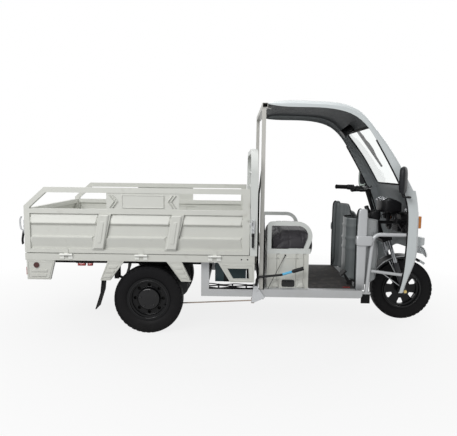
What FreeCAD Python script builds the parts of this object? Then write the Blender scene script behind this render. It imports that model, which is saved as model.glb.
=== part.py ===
"""Electric cargo tricycle: half cab, drop-side bed, telescopic fork and leaf-sprung rear axle.

Frame: +X forward, +Y to the vehicle's left, +Z up, origin on the ground under the middle of the outline.
"""
import FreeCAD
import Part
import Sketcher
import math
import os

# Driving dimensions in millimetres, one named value each
SIZES = {
    # general
    "cut_overrun": 5, "running_clearance": 0.05, "side_clearance": 0.5, "seat_gap": 0.3,
    # wheels and axles
    "wheelbase": 2170, "front_axle_x": 1443, "rear_track": 910,
    "rear_tyre_radius": 273, "rear_tyre_width": 105, "front_tyre_radius": 267, "front_tyre_width": 95,
    "rim_seat_radius": 158, "rim_lip_radius": 172, "rim_wall": 5, "tyre_sidewall": 14,
    "tread_groove_width": 7, "tread_groove_depth": 7, "tread_groove_pitch": 22,
    "disc_wall": 6, "disc_dish": 30, "disc_slot_radius": 14, "disc_slot_circle": 112,
    "front_hole_size": 27, "front_hole_circle": 113, "hub_radius": 42, "front_hub_length": 108,
    "drum_radius": 92, "drum_depth": 62, "drum_nose": 20, "hub_cap_radius": 48,
    "front_axle_radius": 8, "stub_radius": 15, "axle_nut_radius": 15, "axle_nut_height": 14,
    # rear axle, motor and springs
    "axle_tube_radius": 36, "case_radius": 92, "case_width": 150,
    "backplate_radius": 100, "backplate_wall": 8, "hub_gap": 6,
    "motor_radius": 88, "motor_length": 190, "motor_fin_height": 6, "motor_fin_pitch": 18,
    "motor_offset": 176,
    "spring_centre_y": 300, "spring_width": 50, "leaf_wall": 8, "spring_half_span": 293, "spring_arch": 62,
    "leaf_step": 52, "spring_seat_height": 46, "eye_radius": 19, "pin_radius": 7, "cheek_wall": 5,
    "clamp_bolt_radius": 6, "clamp_plate": 10,
    "brake_arm_length": 92, "brake_arm_width": 22, "brake_arm_wall": 6,
    # chassis rails, sills and head tube
    "rail_width": 40, "rail_height": 70, "rail_setback": 54, "cross_width": 40,
    "sill_outer_y": 490, "sill_width": 50, "sill_height": 59, "sill_top_z": 366, "sill_front_x": 965,
    "sill_nose_radius": 28, "drop_post_x": -277, "drop_post_width": 62, "cross_height": 46,
    "neck_foot_x": 990, "neck_width": 56, "neck_depth": 60, "head_radius": 32, "steerer_radius": 14,
    "head_low": 506, "head_high": 700, "cowl_arm_radius": 14, "steer_offset": 35,
    # cargo bed
    "bed_half_width": 570, "bed_length": 1772, "bed_front_x": 108, "beam_top_z": 648, "beam_height": 53,
    "beam_wall": 4, "beam_flange": 38, "floor_wall": 2, "floor_rib_height": 5, "floor_rib_width": 52,
    "floor_rib_pitch": 112, "mount_hole_radius": 6, "mount_hole_spacing": 47, "mount_hole_x": 54,
    "mount_hole_drop": 28,
    "gate_thickness": 35, "gate_bottom_z": 655, "gate_top_z": 995, "gate_front_x": 65,
    "gate_low_rail": 29, "gate_top_rail": 36, "gate_rear_post": 43, "gate_front_post": 53,
    "panel_wall": 2.5,
    "panel_depth": 14, "panel_rib_depth": 4, "upper_rail_z": 1160, "upper_rail_height": 40,
    "upper_rail_setback": 160, "rear_post_top_z": 1016,
    "stake_width": 92, "stake_lean": 61, "stake_depth": 12,
    "plate_wall": 5, "plate_relief": 4, "plate_margin": 16,
    "chevron_width": 34, "chevron_bar": 13, "chevron_pitch": 24,
    "hinge_offset_y": 10, "hinge_offset_z": 5, "knuckle_radius": 9, "knuckle_length": 32,
    "hinge_pin_radius": 4,
    "leaf_plate": 4, "leaf_reach": 34, "tail_gap": 3,
    "striker_width": 22, "striker_height": 42, "striker_depth": 12, "striker_z": 945,
    "hoop_width": 54, "hoop_depth": 38, "hoop_rear_x": 71, "hoop_top_z": 1470, "hoop_corner": 190,
    "headboard_bar_radius": 12, "headboard_wall": 3,
    "latch_plate": 5, "latch_width": 24, "latch_pivot_z": 862, "latch_reach_up": 44, "latch_handle": 146,
    "latch_pivot_radius": 6, "latch_standoff": 4, "latch_kick": 38,
    # skirt brackets, flaps and lamps
    "skirt_depth": 26, "skirt_wall": 3, "skirt_bottom_z": 441, "skirt_inset": 4,
    "flap_width": 120, "flap_wall": 8, "flap_lean": 58, "flap_length": 272,
    "front_flap_width": 70, "front_flap_height": 78, "hanger_radius": 8,
    "lamp_length": 150, "lamp_height": 62, "lamp_depth": 46, "lamp_bar_z": 470, "lamp_bar_height": 40,
    "reflector_radius": 21, "reflector_wall": 8, "reflector_setback": 85, "reflector_z": 556,
    "battery_length": 250, "battery_half_width": 395, "battery_height": 152, "battery_top_z": 556,
    "battery_front_x": 48,
    # cab floor and seat
    "pan_wall": 3, "pan_rear_x": 190, "mat_wall": 6, "mat_rear_x": 552, "mat_front_x": 925,
    "mat_half_width": 432,
    "seat_rear_x": 213, "seat_length": 332, "seat_half_width": 430, "seat_base_top_z": 646,
    "flute_depth": 8, "flute_width": 26,
    "side_frame_width": 30, "side_frame_height": 256, "side_frame_length": 345, "side_frame_reach": 385,
    "side_frame_heel": 302, "side_frame_bar": 32, "side_frame_foot": 39, "side_frame_radius": 100,
    "side_frame_corner": 24,
    "cushion_height": 130, "cushion_rise": 22, "cushion_half_width": 394, "cushion_nose": 34,
    "cushion_edge": 26,
    # cab frame and canopy
    "cab_post_x": 165, "cab_post_width": 30, "cab_post_y": 470, "cab_bar_width": 42, "cab_bar_height": 36,
    "cab_bar_wall": 3, "cab_bar_low_z": 700,
    "canopy_half_width": 470, "canopy_rear_x": 192, "canopy_top_z": 1845, "screen_foot_x": 1345,
    "screen_foot_z": 1160, "canopy_wall": 5, "canopy_edge": 52, "lining_wall": 3,
    "screen_half_width": 396, "screen_low_z": 1192, "screen_high_z": 1664, "screen_corner": 46,
    "seal_width": 14,
    "shield_bottom_z": 350, "shield_front_x": 1390, "pillar_foot_x": 1247, "shield_bulge": 110,
    "shield_wall": 5, "arch_half_width": 292, "arch_top_z": 640, "arch_corner": 120,
    "beak_reach": 120, "beak_width": 250, "beak_height": 105, "beak_low_z": 662,
    "lamp_lens_radius": 88, "lamp_lens_z": 880, "lamp_lens_crown": 26, "lamp_bezel": 14,
    "signal_height": 98, "signal_width": 60, "signal_depth": 34, "signal_y": 330, "signal_z": 902,
    # leg shield, guards and mirrors
    "legs_wall": 5, "legs_half_width": 438, "legs_edge_x": 945, "legs_hollow": 62, "tunnel_bulge": 78,
    "legs_top_z": 990, "legs_notch_z": 905,
    "post_strip_x": 925, "post_strip_width": 56, "post_strip_depth": 24, "post_strip_top_z": 1005,
    "band_low_z": 735, "band_height": 60, "band_depth": 14,
    "guard_radius": 15, "guard_y": 455, "guard_foot_x": 1004, "guard_lean": 36, "guard_top_z": 812,
    "guard_front_x": 1284, "guard_bend": 58, "guard_mid_z": 522, "guard_mid_drop": 30,
    "mirror_height": 206, "mirror_width": 104, "mirror_depth": 42, "mirror_x": 1226, "mirror_y": 532,
    "mirror_low_z": 1138, "mirror_arm_radius": 8, "mirror_arm_z": 1112, "mirror_neck": 18,
    # fork and handlebar, along the raked steering line
    "leg_spread": 85, "lower_leg_radius": 24, "lower_leg_top": 262, "lower_leg_foot": 26,
    "stanchion_radius": 16,
    "stanchion_foot": 150, "bore_foot": 84, "crown_low": 474, "crown_height": 30, "crown_width": 226,
    "crown_depth": 84, "top_nut_height": 16, "top_nut_radius": 27, "stem_top": 938, "stem_radius": 15,
    "bar_radius": 11, "bar_height": 955, "bar_bend": 46, "bar_centre_half": 60, "bar_elbow_x": 52,
    "bar_elbow_y": 168,
    "grip_end_x": 196, "grip_end_y": 292, "grip_radius": 16, "grip_length": 122, "pod_length": 50,
    "pod_radius": 24,
    "bar_clamp_width": 66, "bar_clamp_depth": 38, "bar_clamp_height": 34,
    "fender_radius": 302, "fender_width": 122, "fender_wall": 3, "fender_skirt": 22, "stay_radius": 4,
    "binnacle_rear_x": 1214, "binnacle_length": 180, "binnacle_half_width": 128, "binnacle_low_z": 948,
    "binnacle_height": 140, "binnacle_front_height": 96, "binnacle_edge": 24,
    # wiper
    "wiper_y": 110, "wiper_boss_radius": 17, "wiper_boss_height": 24, "wiper_arm_length": 232,
    "wiper_arm_width": 13,
    "wiper_arm_wall": 5, "wiper_standoff": 14, "wiper_blade_length": 420, "wiper_blade_width": 14,
    "wiper_blade_height": 13, "wiper_motor_radius": 38, "wiper_motor_length": 96,
    # parking brake and foot brake
    "lever_pivot_x": 124, "lever_pivot_z": 380, "lever_y": 503, "lever_radius": 9, "lever_grip_radius": 15,
    "lever_heel_x": 7, "lever_heel_z": 89, "lever_elbow_x": 196, "lever_elbow_z": 110, "lever_grip_x": 370,
    "lever_grip_z": 165, "lever_bend": 34,
    "crank_wall": 6, "crank_width": 40, "crank_drop": 106, "crank_horn_x": 74, "crank_horn_z": 77,
    "crank_pin_radius": 7, "crank_pin_length": 22,
    "rod_radius": 5, "rod_front_y": 484, "rod_rear_y": 362, "rod_eye_radius": 12, "rod_eye_wall": 8,
    "pedal_x": 902, "pedal_y": 320, "pedal_pivot_height": 22, "pedal_arm_x": 50, "pedal_arm_z": 76,
    "pedal_arm_width": 14,
    "pedal_arm_wall": 8, "pedal_pad_width": 78, "pedal_pad_length": 58, "pedal_pad_wall": 12,
    "pedal_pin_radius": 6,
    "pedal_bracket_length": 84, "pedal_bracket_wall": 5, "pedal_bracket_height": 40, "pedal_gap": 1,
    # held cables
    "cable_radius": 7, "hose_gap": 8, "hose_rear_x": 138, "hose_front_x": 188, "hose_rear_bend_z": 1120,
    "hose_front_bend_z": 790, "hose_shift": 190, "hose_bend": 60,
}

# Angles in degrees
ANGLES = {"rake": 19, "fender_span": 92, "fender_tilt": 9, "lever_throw": 24}

LEAF_COUNT = 5
SLOT_COUNT = 8
FRONT_HOLE_COUNT = 6
MOTOR_FIN_COUNT = 8
FLOOR_RIB_COUNT = 9

doc = FreeCAD.newDocument("cargo_tricycle")
sheet = doc.addObject("Spreadsheet::Sheet", "sizes")


class Size:
    """A dimension that carries its value and the sheet expression that gives it."""

    def __init__(self, value, text):
        self.value = float(value)
        self.text = text

    def __add__(self, other):
        other = sized(other)
        return Size(self.value + other.value, "(%s + %s)" % (self.text, other.text))

    def __sub__(self, other):
        other = sized(other)
        return Size(self.value - other.value, "(%s - %s)" % (self.text, other.text))

    def __mul__(self, factor):
        factor = sized(factor)
        return Size(self.value * factor.value, "(%s * %s)" % (self.text, factor.text))

    def __truediv__(self, factor):
        factor = sized(factor)
        return Size(self.value / factor.value, "(%s / %s)" % (self.text, factor.text))

    def __neg__(self):
        return Size(-self.value, "(-%s)" % self.text)

    def __radd__(self, other):
        return sized(other) + self

    def __rsub__(self, other):
        return sized(other) - self

    __rmul__ = __mul__


def sized(item):
    """A plain factor or zero as a Size."""
    return item if isinstance(item, Size) else Size(item, repr(float(item)))


class Sizes:
    """The sheet's named sizes as attributes."""


d = Sizes()
for row, (alias, number) in enumerate({**SIZES, **ANGLES}.items(), start=1):
    sheet.set("A%d" % row, alias)
    sheet.set("B%d" % row, str(number))
    sheet.setAlias("B%d" % row, alias)
    setattr(d, alias, Size(number, "sizes.%s" % alias))
doc.recompute()

NODES = {}


def node(name, feature):
    """Name a finished sub-part."""
    feature.Label = name
    NODES[name] = feature
    return feature


def bind(feature, prop, size):
    feature.setExpression(prop, sized(size).text)


def place(feature, x, y, z, axis=None, angle=0):
    """Set a feature's place, with its coordinates bound to the sheet."""
    if axis:
        feature.Placement = FreeCAD.Placement(FreeCAD.Vector(),
                                              FreeCAD.Rotation(FreeCAD.Vector(*axis), angle))
    for letter, size in zip("xyz", (x, y, z)):
        bind(feature, "Placement.Base.%s" % letter, size)
    return feature


def box(name, x, y, z, length, width, height):
    """A block from its low corner and its three sides."""
    block = doc.addObject("Part::Box", name)
    for prop, size in (("Length", length), ("Width", width), ("Height", height)):
        bind(block, prop, size)
    return place(block, x, y, z)


AXIS_TURN = {"X": ((0, 1, 0), 90), "Y": ((1, 0, 0), -90), "Z": ((0, 0, 1), 0)}


def rod(name, axis, x, y, z, radius, length):
    """A round bar along an axis, from the middle of its first end."""
    bar = doc.addObject("Part::Cylinder", name)
    bind(bar, "Radius", radius)
    bind(bar, "Height", length)
    turn_axis, turn = AXIS_TURN[axis]
    return place(bar, x, y, z, turn_axis, turn)


def ring(name, axis, x, y, z, radius, bore, length):
    """A round sleeve along an axis."""
    outer = rod(name + "_outer", axis, x, y, z, radius, length)
    inner = rod(name + "_bore", axis, x, y, z, bore, length)
    return less(name, outer, inner)


def joined(name, pieces):
    fusion = doc.addObject("Part::MultiFuse", name)
    fusion.Shapes = pieces
    fusion.Refine = True
    return fusion


def less(name, base, tool):
    cut = doc.addObject("Part::Cut", name)
    cut.Base = base
    cut.Tool = tool
    return cut


def both(name, first, second):
    common = doc.addObject("Part::Common", name)
    common.Base = first
    common.Tool = second
    return common


def group(name, pieces):
    bundle = doc.addObject("Part::Compound", name)
    bundle.Links = pieces
    return bundle


def mirrored(feature):
    """The same piece on the other side of the vehicle."""
    image = doc.addObject("Part::Mirroring", feature.Name + "_mirror")
    image.Source = feature
    image.Normal = FreeCAD.Vector(0, 1, 0)
    return image


def pair(name, feature):
    return group(name, [feature, mirrored(feature)])


def solid(name, shape):
    feature = doc.addObject("Part::Feature", name)
    feature.Shape = shape
    return feature


def origin_plane(body, role):
    return [item for item in body.Origin.OriginFeatures if item.Role == role][0]


def outline_sketch(body, name, role, offset, loops):
    """A sketch of closed outlines, each corner held by sizes from the sheet."""
    sketch = body.newObject("Sketcher::SketchObject", name + "_sketch")
    sketch.AttachmentSupport = [(origin_plane(body, role), "")]
    sketch.MapMode = "FlatFace"
    bind(sketch, "AttachmentOffset.Base.z", offset)
    for loop in loops:
        corners = [(sized(u), sized(v)) for u, v in loop]
        first = sketch.GeometryCount
        count = len(corners)
        for index in range(count):
            start, end = corners[index], corners[(index + 1) % count]
            line = Part.LineSegment(FreeCAD.Vector(start[0].value, start[1].value, 0),
                                    FreeCAD.Vector(end[0].value, end[1].value, 0))
            sketch.addGeometry(line, False)
        for index in range(count):
            following = first + (index + 1) % count
            sketch.addConstraint(Sketcher.Constraint("Coincident", first + index, 2, following, 1))
        for index, corner in enumerate(corners):
            for kind, size in zip(("DistanceX", "DistanceY"), corner):
                pin = Sketcher.Constraint(kind, -1, 1, first + index, 1, size.value)
                number = sketch.addConstraint(pin)
                sketch.setExpression("Constraints[%d]" % number, size.text)
    return sketch


def prism(name, role, loops, start, depth):
    """Outlines on an origin plane, padded along its normal from a start (XZ_Plane pads towards -Y)."""
    body = doc.addObject("PartDesign::Body", name)
    sketch = outline_sketch(body, name, role, start, loops)
    pad = body.newObject("PartDesign::Pad", name + "_pad")
    pad.Profile = sketch
    bind(pad, "Length", depth)
    return body


def side_plate(name, loops, y, depth):
    """Outlines in side view, from y towards the vehicle's right."""
    return prism(name, "XZ_Plane", loops, -y, depth)


def turned(name, profile, x, y, z):
    """A profile of (across, radius) corners turned about a line along Y."""
    body = doc.addObject("PartDesign::Body", name)
    sketch = outline_sketch(body, name, "YZ_Plane", 0, [profile])
    turn = body.newObject("PartDesign::Revolution", name + "_turn")
    turn.Profile = sketch
    turn.ReferenceAxis = (sketch, ["H_Axis"])
    turn.Angle = 360
    return place(body, x, y, z)


def rounded(name, feature, radius, chosen):
    """Round the edges of a feature that a test picks."""
    doc.recompute()
    fillet = doc.addObject("Part::Fillet", name)
    fillet.Base = feature
    fillet.Edges = [(number, radius.value, radius.value)
                    for number, edge in enumerate(feature.Shape.Edges, start=1) if chosen(edge)]
    return fillet


def spot(x, y, z):
    return FreeCAD.Vector(sized(x).value, sized(y).value, sized(z).value)


def bent_path(points, *bends):
    """Straight runs through the points, joined by tangent arcs of one radius or of one radius each."""
    corners = [spot(*item) for item in points]
    edges = []
    start = corners[0]
    radii = bends if len(bends) > 1 else bends * (len(points) - 2)
    for before, corner, after, bend in zip(corners, corners[1:], corners[2:], radii):
        back = (before - corner).normalize()
        ahead = (after - corner).normalize()
        half = back.getAngle(ahead) / 2
        reach = bend.value / math.tan(half)
        inner = (back + ahead).normalize() * (bend.value / math.sin(half) - bend.value)
        edges.append(Part.LineSegment(start, corner + back * reach).toShape())
        edges.append(Part.Arc(corner + back * reach, corner + inner, corner + ahead * reach).toShape())
        start = corner + ahead * reach
    edges.append(Part.LineSegment(start, corners[-1]).toShape())
    return Part.Wire(edges)


def bent_tube(name, points, bend, radius):
    """A round tube along straight runs and tangent arcs."""
    path = bent_path(points, bend)
    heading = spot(*points[1]) - spot(*points[0])
    profile = Part.Wire(Part.Circle(spot(*points[0]), heading, radius.value).toShape())
    return solid(name, path.makePipeShell([profile], True, False))


def bar_between(name, start, end, radius):
    """A straight round bar between two points."""
    heading = spot(*end) - spot(*start)
    return solid(name, Part.makeCylinder(radius.value, heading.Length, spot(*start), heading))


rear_axle_x = d.front_axle_x - d.wheelbase
wheel_y = d.rear_track / 2
beam_bottom_z = d.beam_top_z - d.beam_height
bed_rear_x = d.bed_front_x - d.bed_length
rail_rear_x = bed_rear_x + d.rail_setback
sill_bottom_z = d.sill_top_z - d.sill_height
pan_top_z = d.sill_top_z + d.pan_wall
bead_share = 0.72
sidewall_shares = [(0.95, 0.32), (1.0, 0.54), (0.96, 0.80), (0.84, 0.95), (0.68, 1.0)]


# Wheels

def tyre(name, radius, width, x, y):
    """A tyre with open beads, bulging sidewalls and ring grooves."""
    half = width / 2
    bead = half * bead_share
    seat = d.rim_seat_radius + d.seat_gap
    section = radius - seat
    wall = [(half * across, seat + section * up) for across, up in sidewall_shares]
    right = [(bead, seat), (bead, d.rim_lip_radius + d.seat_gap)] + wall
    tread = []
    for place_share in (1, 0, -1):
        middle = d.tread_groove_pitch * place_share
        rim = d.tread_groove_width / 2
        low = radius - d.tread_groove_depth
        tread += [(middle + rim, radius), (middle + rim, low), (middle - rim, low), (middle - rim, radius)]
    left = [(-across, up) for across, up in reversed(right)]
    crown = radius - d.tyre_sidewall * 2
    belly = (wall[1][0] - d.tyre_sidewall, wall[1][1])
    inner = [(d.tyre_sidewall - bead, seat), (-belly[0], belly[1]), (-(half / 2), crown), (half / 2, crown),
             belly,
             (bead - d.tyre_sidewall, seat)]
    return turned(name, right + tread + left + inner, x, y, radius)


def barrel(width):
    """The rim's lips and drop centre, from the outer lip to the inner lip."""
    bead = width / 2 * bead_share + d.seat_gap
    lip = bead + d.rim_wall
    well = d.rim_seat_radius - d.rim_wall * 3
    flat = bead * 0.55
    return [(lip, d.rim_lip_radius), (bead, d.rim_lip_radius), (bead, d.rim_seat_radius),
            (flat, d.rim_seat_radius),
            (flat * 0.8, well), (-flat * 0.8, well), (-flat, d.rim_seat_radius), (-bead, d.rim_seat_radius),
            (-bead, d.rim_lip_radius), (-lip, d.rim_lip_radius), (-lip, d.rim_seat_radius - d.rim_wall),
            (-flat, d.rim_seat_radius - d.rim_wall), (-flat * 0.8, well - d.rim_wall)], flat, well, lip


def ring_of(count, make):
    """Pieces spread evenly on a circle."""
    return [make(number, 2 * math.pi * number / count) for number in range(count)]


def rear_rim(name):
    """A pressed steel rim whose dished disc carries a ring of slots round the drum."""
    outline, flat, well, lip = barrel(d.rear_tyre_width)
    hole = d.drum_radius - d.rim_wall * 2 + d.seat_gap
    under = well - d.rim_wall
    back = -d.disc_wall
    outline += [(back, under), (back - d.rim_wall, hole + d.disc_dish), (back - d.rim_wall, hole),
                (-d.rim_wall, hole), (-d.rim_wall, hole + d.disc_dish), (0, under),
                (flat * 0.8, under), (flat, d.rim_seat_radius - d.rim_wall),
                (lip, d.rim_seat_radius - d.rim_wall)]
    blank = turned(name + "_blank", outline, rear_axle_x, wheel_y, d.rear_tyre_radius)
    slots = ring_of(SLOT_COUNT, lambda number, angle: rod(
        "%s_slot%d" % (name, number), "Y", rear_axle_x + d.disc_slot_circle * math.cos(angle),
        wheel_y - d.disc_dish, d.rear_tyre_radius + d.disc_slot_circle * math.sin(angle),
        d.disc_slot_radius,
        d.disc_dish * 2))
    return less(name, blank, group(name + "_slots", slots))


def brake_drum(name):
    """Drum and hub with a domed nose, bored for the stub axle."""
    bore = d.stub_radius + d.running_clearance
    shoulder = -d.disc_wall - d.rim_wall
    nose = d.drum_radius - d.rim_wall * 2
    tip = d.drum_nose + d.rim_wall
    profile = [(shoulder - d.drum_depth, bore), (shoulder - d.drum_depth, d.drum_radius),
               (shoulder, d.drum_radius),
               (shoulder, nose), (d.drum_nose / 2, nose), (d.drum_nose, nose * 0.86),
               (d.drum_nose, d.hub_cap_radius),
               (tip, d.hub_cap_radius * 0.8), (tip, 0), (0, 0), (0, bore)]
    return turned(name, profile, rear_axle_x, wheel_y, d.rear_tyre_radius)


left_tyre = node("rear_tyre_left", tyre("rear_tyre_l", d.rear_tyre_radius, d.rear_tyre_width, rear_axle_x,
                                        wheel_y))
left_rim = node("rear_rim_left", rear_rim("rear_rim_l"))
left_drum = node("brake_drum_left", brake_drum("brake_drum_l"))
node("rear_tyre_right", mirrored(left_tyre))
node("rear_rim_right", mirrored(left_rim))
node("brake_drum_right", mirrored(left_drum))
node("front_tyre", tyre("front_tyre_body", d.front_tyre_radius, d.front_tyre_width, d.front_axle_x, 0))

hole_shares = [(-0.95, 0.45), (-0.70, 0.95), (0.70, 0.95), (0.95, 0.45), (0.35, -0.95), (-0.35, -0.95)]


def front_rim(name):
    """A disc wheel with rounded triangular holes and a long hub."""
    outline, flat, well, lip = barrel(d.front_tyre_width)
    bore = d.front_axle_radius + d.running_clearance
    half = d.front_hub_length / 2
    under = well - d.rim_wall
    wall = d.disc_wall / 2
    outline += [(-wall, under), (-wall, d.hub_radius), (-half, d.hub_radius), (-half, bore), (half, bore),
                (half, d.hub_radius), (wall, d.hub_radius), (wall, under), (flat * 0.8, under),
                (flat, d.rim_seat_radius - d.rim_wall), (lip, d.rim_seat_radius - d.rim_wall)]
    blank = turned(name + "_blank", outline, d.front_axle_x, 0, d.front_tyre_radius)

    def hole(number, angle):
        """One hole, its wide end outwards."""
        corners = []
        for across, out in hole_shares:
            reach = d.front_hole_circle + d.front_hole_size * out
            corners.append((d.front_axle_x + reach * math.sin(angle) + d.front_hole_size * (across * math.cos(angle)),
                            d.front_tyre_radius + reach * math.cos(angle)
                            - d.front_hole_size * (across * math.sin(angle))))
        return side_plate("%s_hole%d" % (name, number), [corners], d.disc_dish, d.disc_dish * 2)

    return less(name, blank, group(name + "_holes", ring_of(FRONT_HOLE_COUNT, hole)))


node("front_rim", front_rim("front_rim_body"))


# Rear axle, motor and springs

def rear_axle():
    """Axle tube with its case, spring seats and bolts, and the backplates with brake arms and stubs."""
    z = d.rear_tyre_radius
    bell = d.case_width / 2
    tube = d.axle_tube_radius
    plate_in = wheel_y - d.disc_wall - d.rim_wall - d.drum_depth - d.hub_gap - d.backplate_wall
    profile = [(-plate_in, 0), (-plate_in, tube), (-bell, tube), (-bell / 2, d.case_radius),
               (bell / 2, d.case_radius),
               (bell, tube), (plate_in, tube), (plate_in, 0)]
    core = turned("axle_core", profile, rear_axle_x, 0, z)
    plate = rod("axle_backplate", "Y", rear_axle_x, plate_in, z, d.backplate_radius, d.backplate_wall)
    stub = rod("axle_stub", "Y", rear_axle_x, plate_in, z, d.stub_radius, wheel_y - plate_in - d.seat_gap)
    seat_top = z + d.spring_seat_height
    seat = box("axle_seat", rear_axle_x - d.spring_width, d.spring_centre_y - d.spring_width / 2, z,
               d.spring_width * 2, d.spring_width, d.spring_seat_height)
    arm = box("axle_brake_arm", rear_axle_x, plate_in - d.brake_arm_wall, z - d.brake_arm_length,
              d.brake_arm_width, d.brake_arm_wall, d.brake_arm_length - tube)
    pack = d.leaf_wall * LEAF_COUNT
    out = d.spring_width / 2 + d.clamp_bolt_radius + d.side_clearance * 2
    bolts = []
    for along in (-1, 1):
        for across in (-1, 1):
            bolts.append(rod("axle_bolt%d%d" % (along, across), "Z",
                             rear_axle_x + d.spring_width * (along * 0.7),
                             d.spring_centre_y + out * across, z, d.clamp_bolt_radius,
                             d.spring_seat_height + pack + d.clamp_plate * 2))
    cap_share = d.spring_width / d.spring_half_span
    cap = box("axle_clamp_cap", rear_axle_x - d.spring_width, d.spring_centre_y - out - d.clamp_bolt_radius,
              seat_top + pack + d.spring_arch * cap_share * cap_share, d.spring_width * 2,
              (out + d.clamp_bolt_radius) * 2, d.clamp_plate)
    wing = box("axle_seat_wing", rear_axle_x - d.spring_width,
               d.spring_centre_y - out - d.clamp_bolt_radius, z,
               d.spring_width * 2, (out + d.clamp_bolt_radius) * 2, d.spring_seat_height)
    clamps = joined("axle_clamps", [seat, cap, wing] + bolts)
    backplate = joined("axle_backplate_stub", [plate, stub])
    pieces = [joined("axle_beam", [core, clamps, mirrored(clamps)])]
    for piece in (backplate, arm):
        pieces += [piece, mirrored(piece)]
    return group("axle_assembly", pieces)


node("rear_axle", rear_axle())


def drive_motor():
    """A finned motor drum on the front of the axle case."""
    half = d.motor_length / 2
    profile = [(-half, 0), (-half, d.motor_radius)]
    for number in range(MOTOR_FIN_COUNT):
        low = d.motor_fin_pitch * (number - MOTOR_FIN_COUNT / 2 + 0.5) - d.motor_fin_height / 2
        for across, up in ((0, 0), (0, 1), (1, 1), (1, 0)):
            profile.append((low + d.motor_fin_height * across, d.motor_radius + d.motor_fin_height * up))
    profile += [(half, d.motor_radius), (half, 0)]
    drum = turned("motor_drum", profile, rear_axle_x + d.motor_offset + d.motor_fin_height, 0,
                  d.rear_tyre_radius)
    web = box("motor_web", rear_axle_x, -d.case_width / 3, d.rear_tyre_radius - d.motor_radius / 2,
              d.motor_offset, d.case_width / 1.5, d.motor_radius)
    return less("motor_assembly", joined("motor_with_web", [drum, web]), NODES["rear_axle"])


node("drive_motor", drive_motor())
eye_z = d.rear_tyre_radius + d.spring_seat_height + d.leaf_wall * (LEAF_COUNT - 0.5) + d.spring_arch


def leaf_pack(name):
    """Arched leaves, each shorter than the one above, with rolled eyes on the main leaf."""
    top = d.rear_tyre_radius + d.spring_seat_height + d.leaf_wall * LEAF_COUNT
    width = d.spring_width.value
    leaves = []
    span = d.spring_half_span.value
    rise = d.spring_arch.value
    radius = (span ** 2 + rise ** 2) / (2 * rise)
    for number in range(LEAF_COUNT):
        reach = span - d.leaf_step.value * number
        upper = top.value - d.leaf_wall.value * number
        lower = upper - d.leaf_wall.value
        centre_z = top.value - d.leaf_wall.value / 2 + radius
        faces = []
        for level in (upper, lower):
            around = centre_z - level
            lift = around - math.sqrt(around ** 2 - reach ** 2)
            ends = [FreeCAD.Vector(rear_axle_x.value + sign * reach, 0, level + lift) for sign in (-1, 1)]
            faces.append((ends[0], FreeCAD.Vector(rear_axle_x.value, 0, level), ends[1]))
        (a, b, c), (e, f, g) = faces
        wire = Part.Wire([Part.Arc(a, b, c).toShape(), Part.LineSegment(c, g).toShape(),
                          Part.Arc(g, f, e).toShape(), Part.LineSegment(e, a).toShape()])
        leaf = Part.Face(wire).extrude(FreeCAD.Vector(0, width, 0))
        leaf.translate(FreeCAD.Vector(0, d.spring_centre_y.value - width / 2, 0))
        leaves.append(leaf)
    main = leaves[0]
    for sign in (-1, 1):
        spot_x = rear_axle_x.value + sign * span
        start = FreeCAD.Vector(spot_x, d.spring_centre_y.value - width / 2, eye_z.value)
        along = FreeCAD.Vector(0, 1, 0)
        main = main.fuse(Part.makeCylinder(d.eye_radius.value, width, start, along))
    for sign in (-1, 1):
        spot_x = rear_axle_x.value + sign * span
        start = FreeCAD.Vector(spot_x, d.spring_centre_y.value - width / 2, eye_z.value)
        bore = d.pin_radius.value + d.running_clearance.value
        main = main.cut(Part.makeCylinder(bore, width, start, FreeCAD.Vector(0, 1, 0)))
    return solid(name, Part.makeCompound([main] + leaves[1:]))


node("leaf_springs", pair("leaf_spring_pair", leaf_pack("leaf_pack")))


def spring_hangers():
    """Front hanger cheeks, rear shackle plates with their bracket, and the eye pins."""
    rail_bottom = beam_bottom_z - d.rail_height
    pieces = []
    inner = d.spring_centre_y - d.spring_width / 2 - d.side_clearance - d.cheek_wall
    outer = d.spring_centre_y + d.spring_width / 2 + d.side_clearance
    wide = d.eye_radius * 2
    for label, y in (("in", inner), ("out", outer)):
        front_x = rear_axle_x + d.spring_half_span - d.eye_radius
        rear_x = rear_axle_x - d.spring_half_span - d.eye_radius
        pieces.append(box("hanger_front_" + label, front_x, y, eye_z - d.eye_radius, wide, d.cheek_wall,
                          rail_bottom - eye_z + d.eye_radius))
        pieces.append(box("hanger_rear_" + label, rear_x, y, eye_z - d.eye_radius, wide, d.cheek_wall,
                          rail_bottom - eye_z + d.eye_radius))
    pin_long = outer - inner + d.cheek_wall
    for label, x in (("front", front_x), ("rear", rear_x)):
        pieces.append(box("hanger_cap_" + label, x, inner, rail_bottom - d.cheek_wall, wide, pin_long,
                          d.cheek_wall))
    for label, sign in (("front", 1), ("rear", -1)):
        pieces.append(rod("hanger_pin_" + label, "Y", rear_axle_x + d.spring_half_span * sign, inner, eye_z,
                          d.pin_radius, pin_long))
    return joined("hanger_side", pieces)


hanger_pair = pair("spring_hanger_pair", spring_hangers())


# Chassis frame

def frame_point(up, ahead=0):
    """A point on the fork's raked line: up it from the front axle, and ahead of it."""
    rake = math.radians(d.rake.value)
    up, ahead = sized(up), sized(ahead)
    return (d.front_axle_x - up * math.sin(rake) + ahead * math.cos(rake),
            d.front_tyre_radius + up * math.cos(rake) + ahead * math.sin(rake))


def steer_point(up):
    return frame_point(up, -d.steer_offset)


def raked(feature, ahead, across, up):
    """Turn a feature built upright on the origin to stand on the fork's raked line."""
    feature.Placement = FreeCAD.Placement(FreeCAD.Vector(), FreeCAD.Rotation(FreeCAD.Vector(0, 1, 0),
                                                                             -d.rake.value))
    x, z = frame_point(up, ahead)
    for letter, size in zip("xyz", (x, across, z)):
        bind(feature, "Placement.Base.%s" % letter, size)
    return feature


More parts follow.
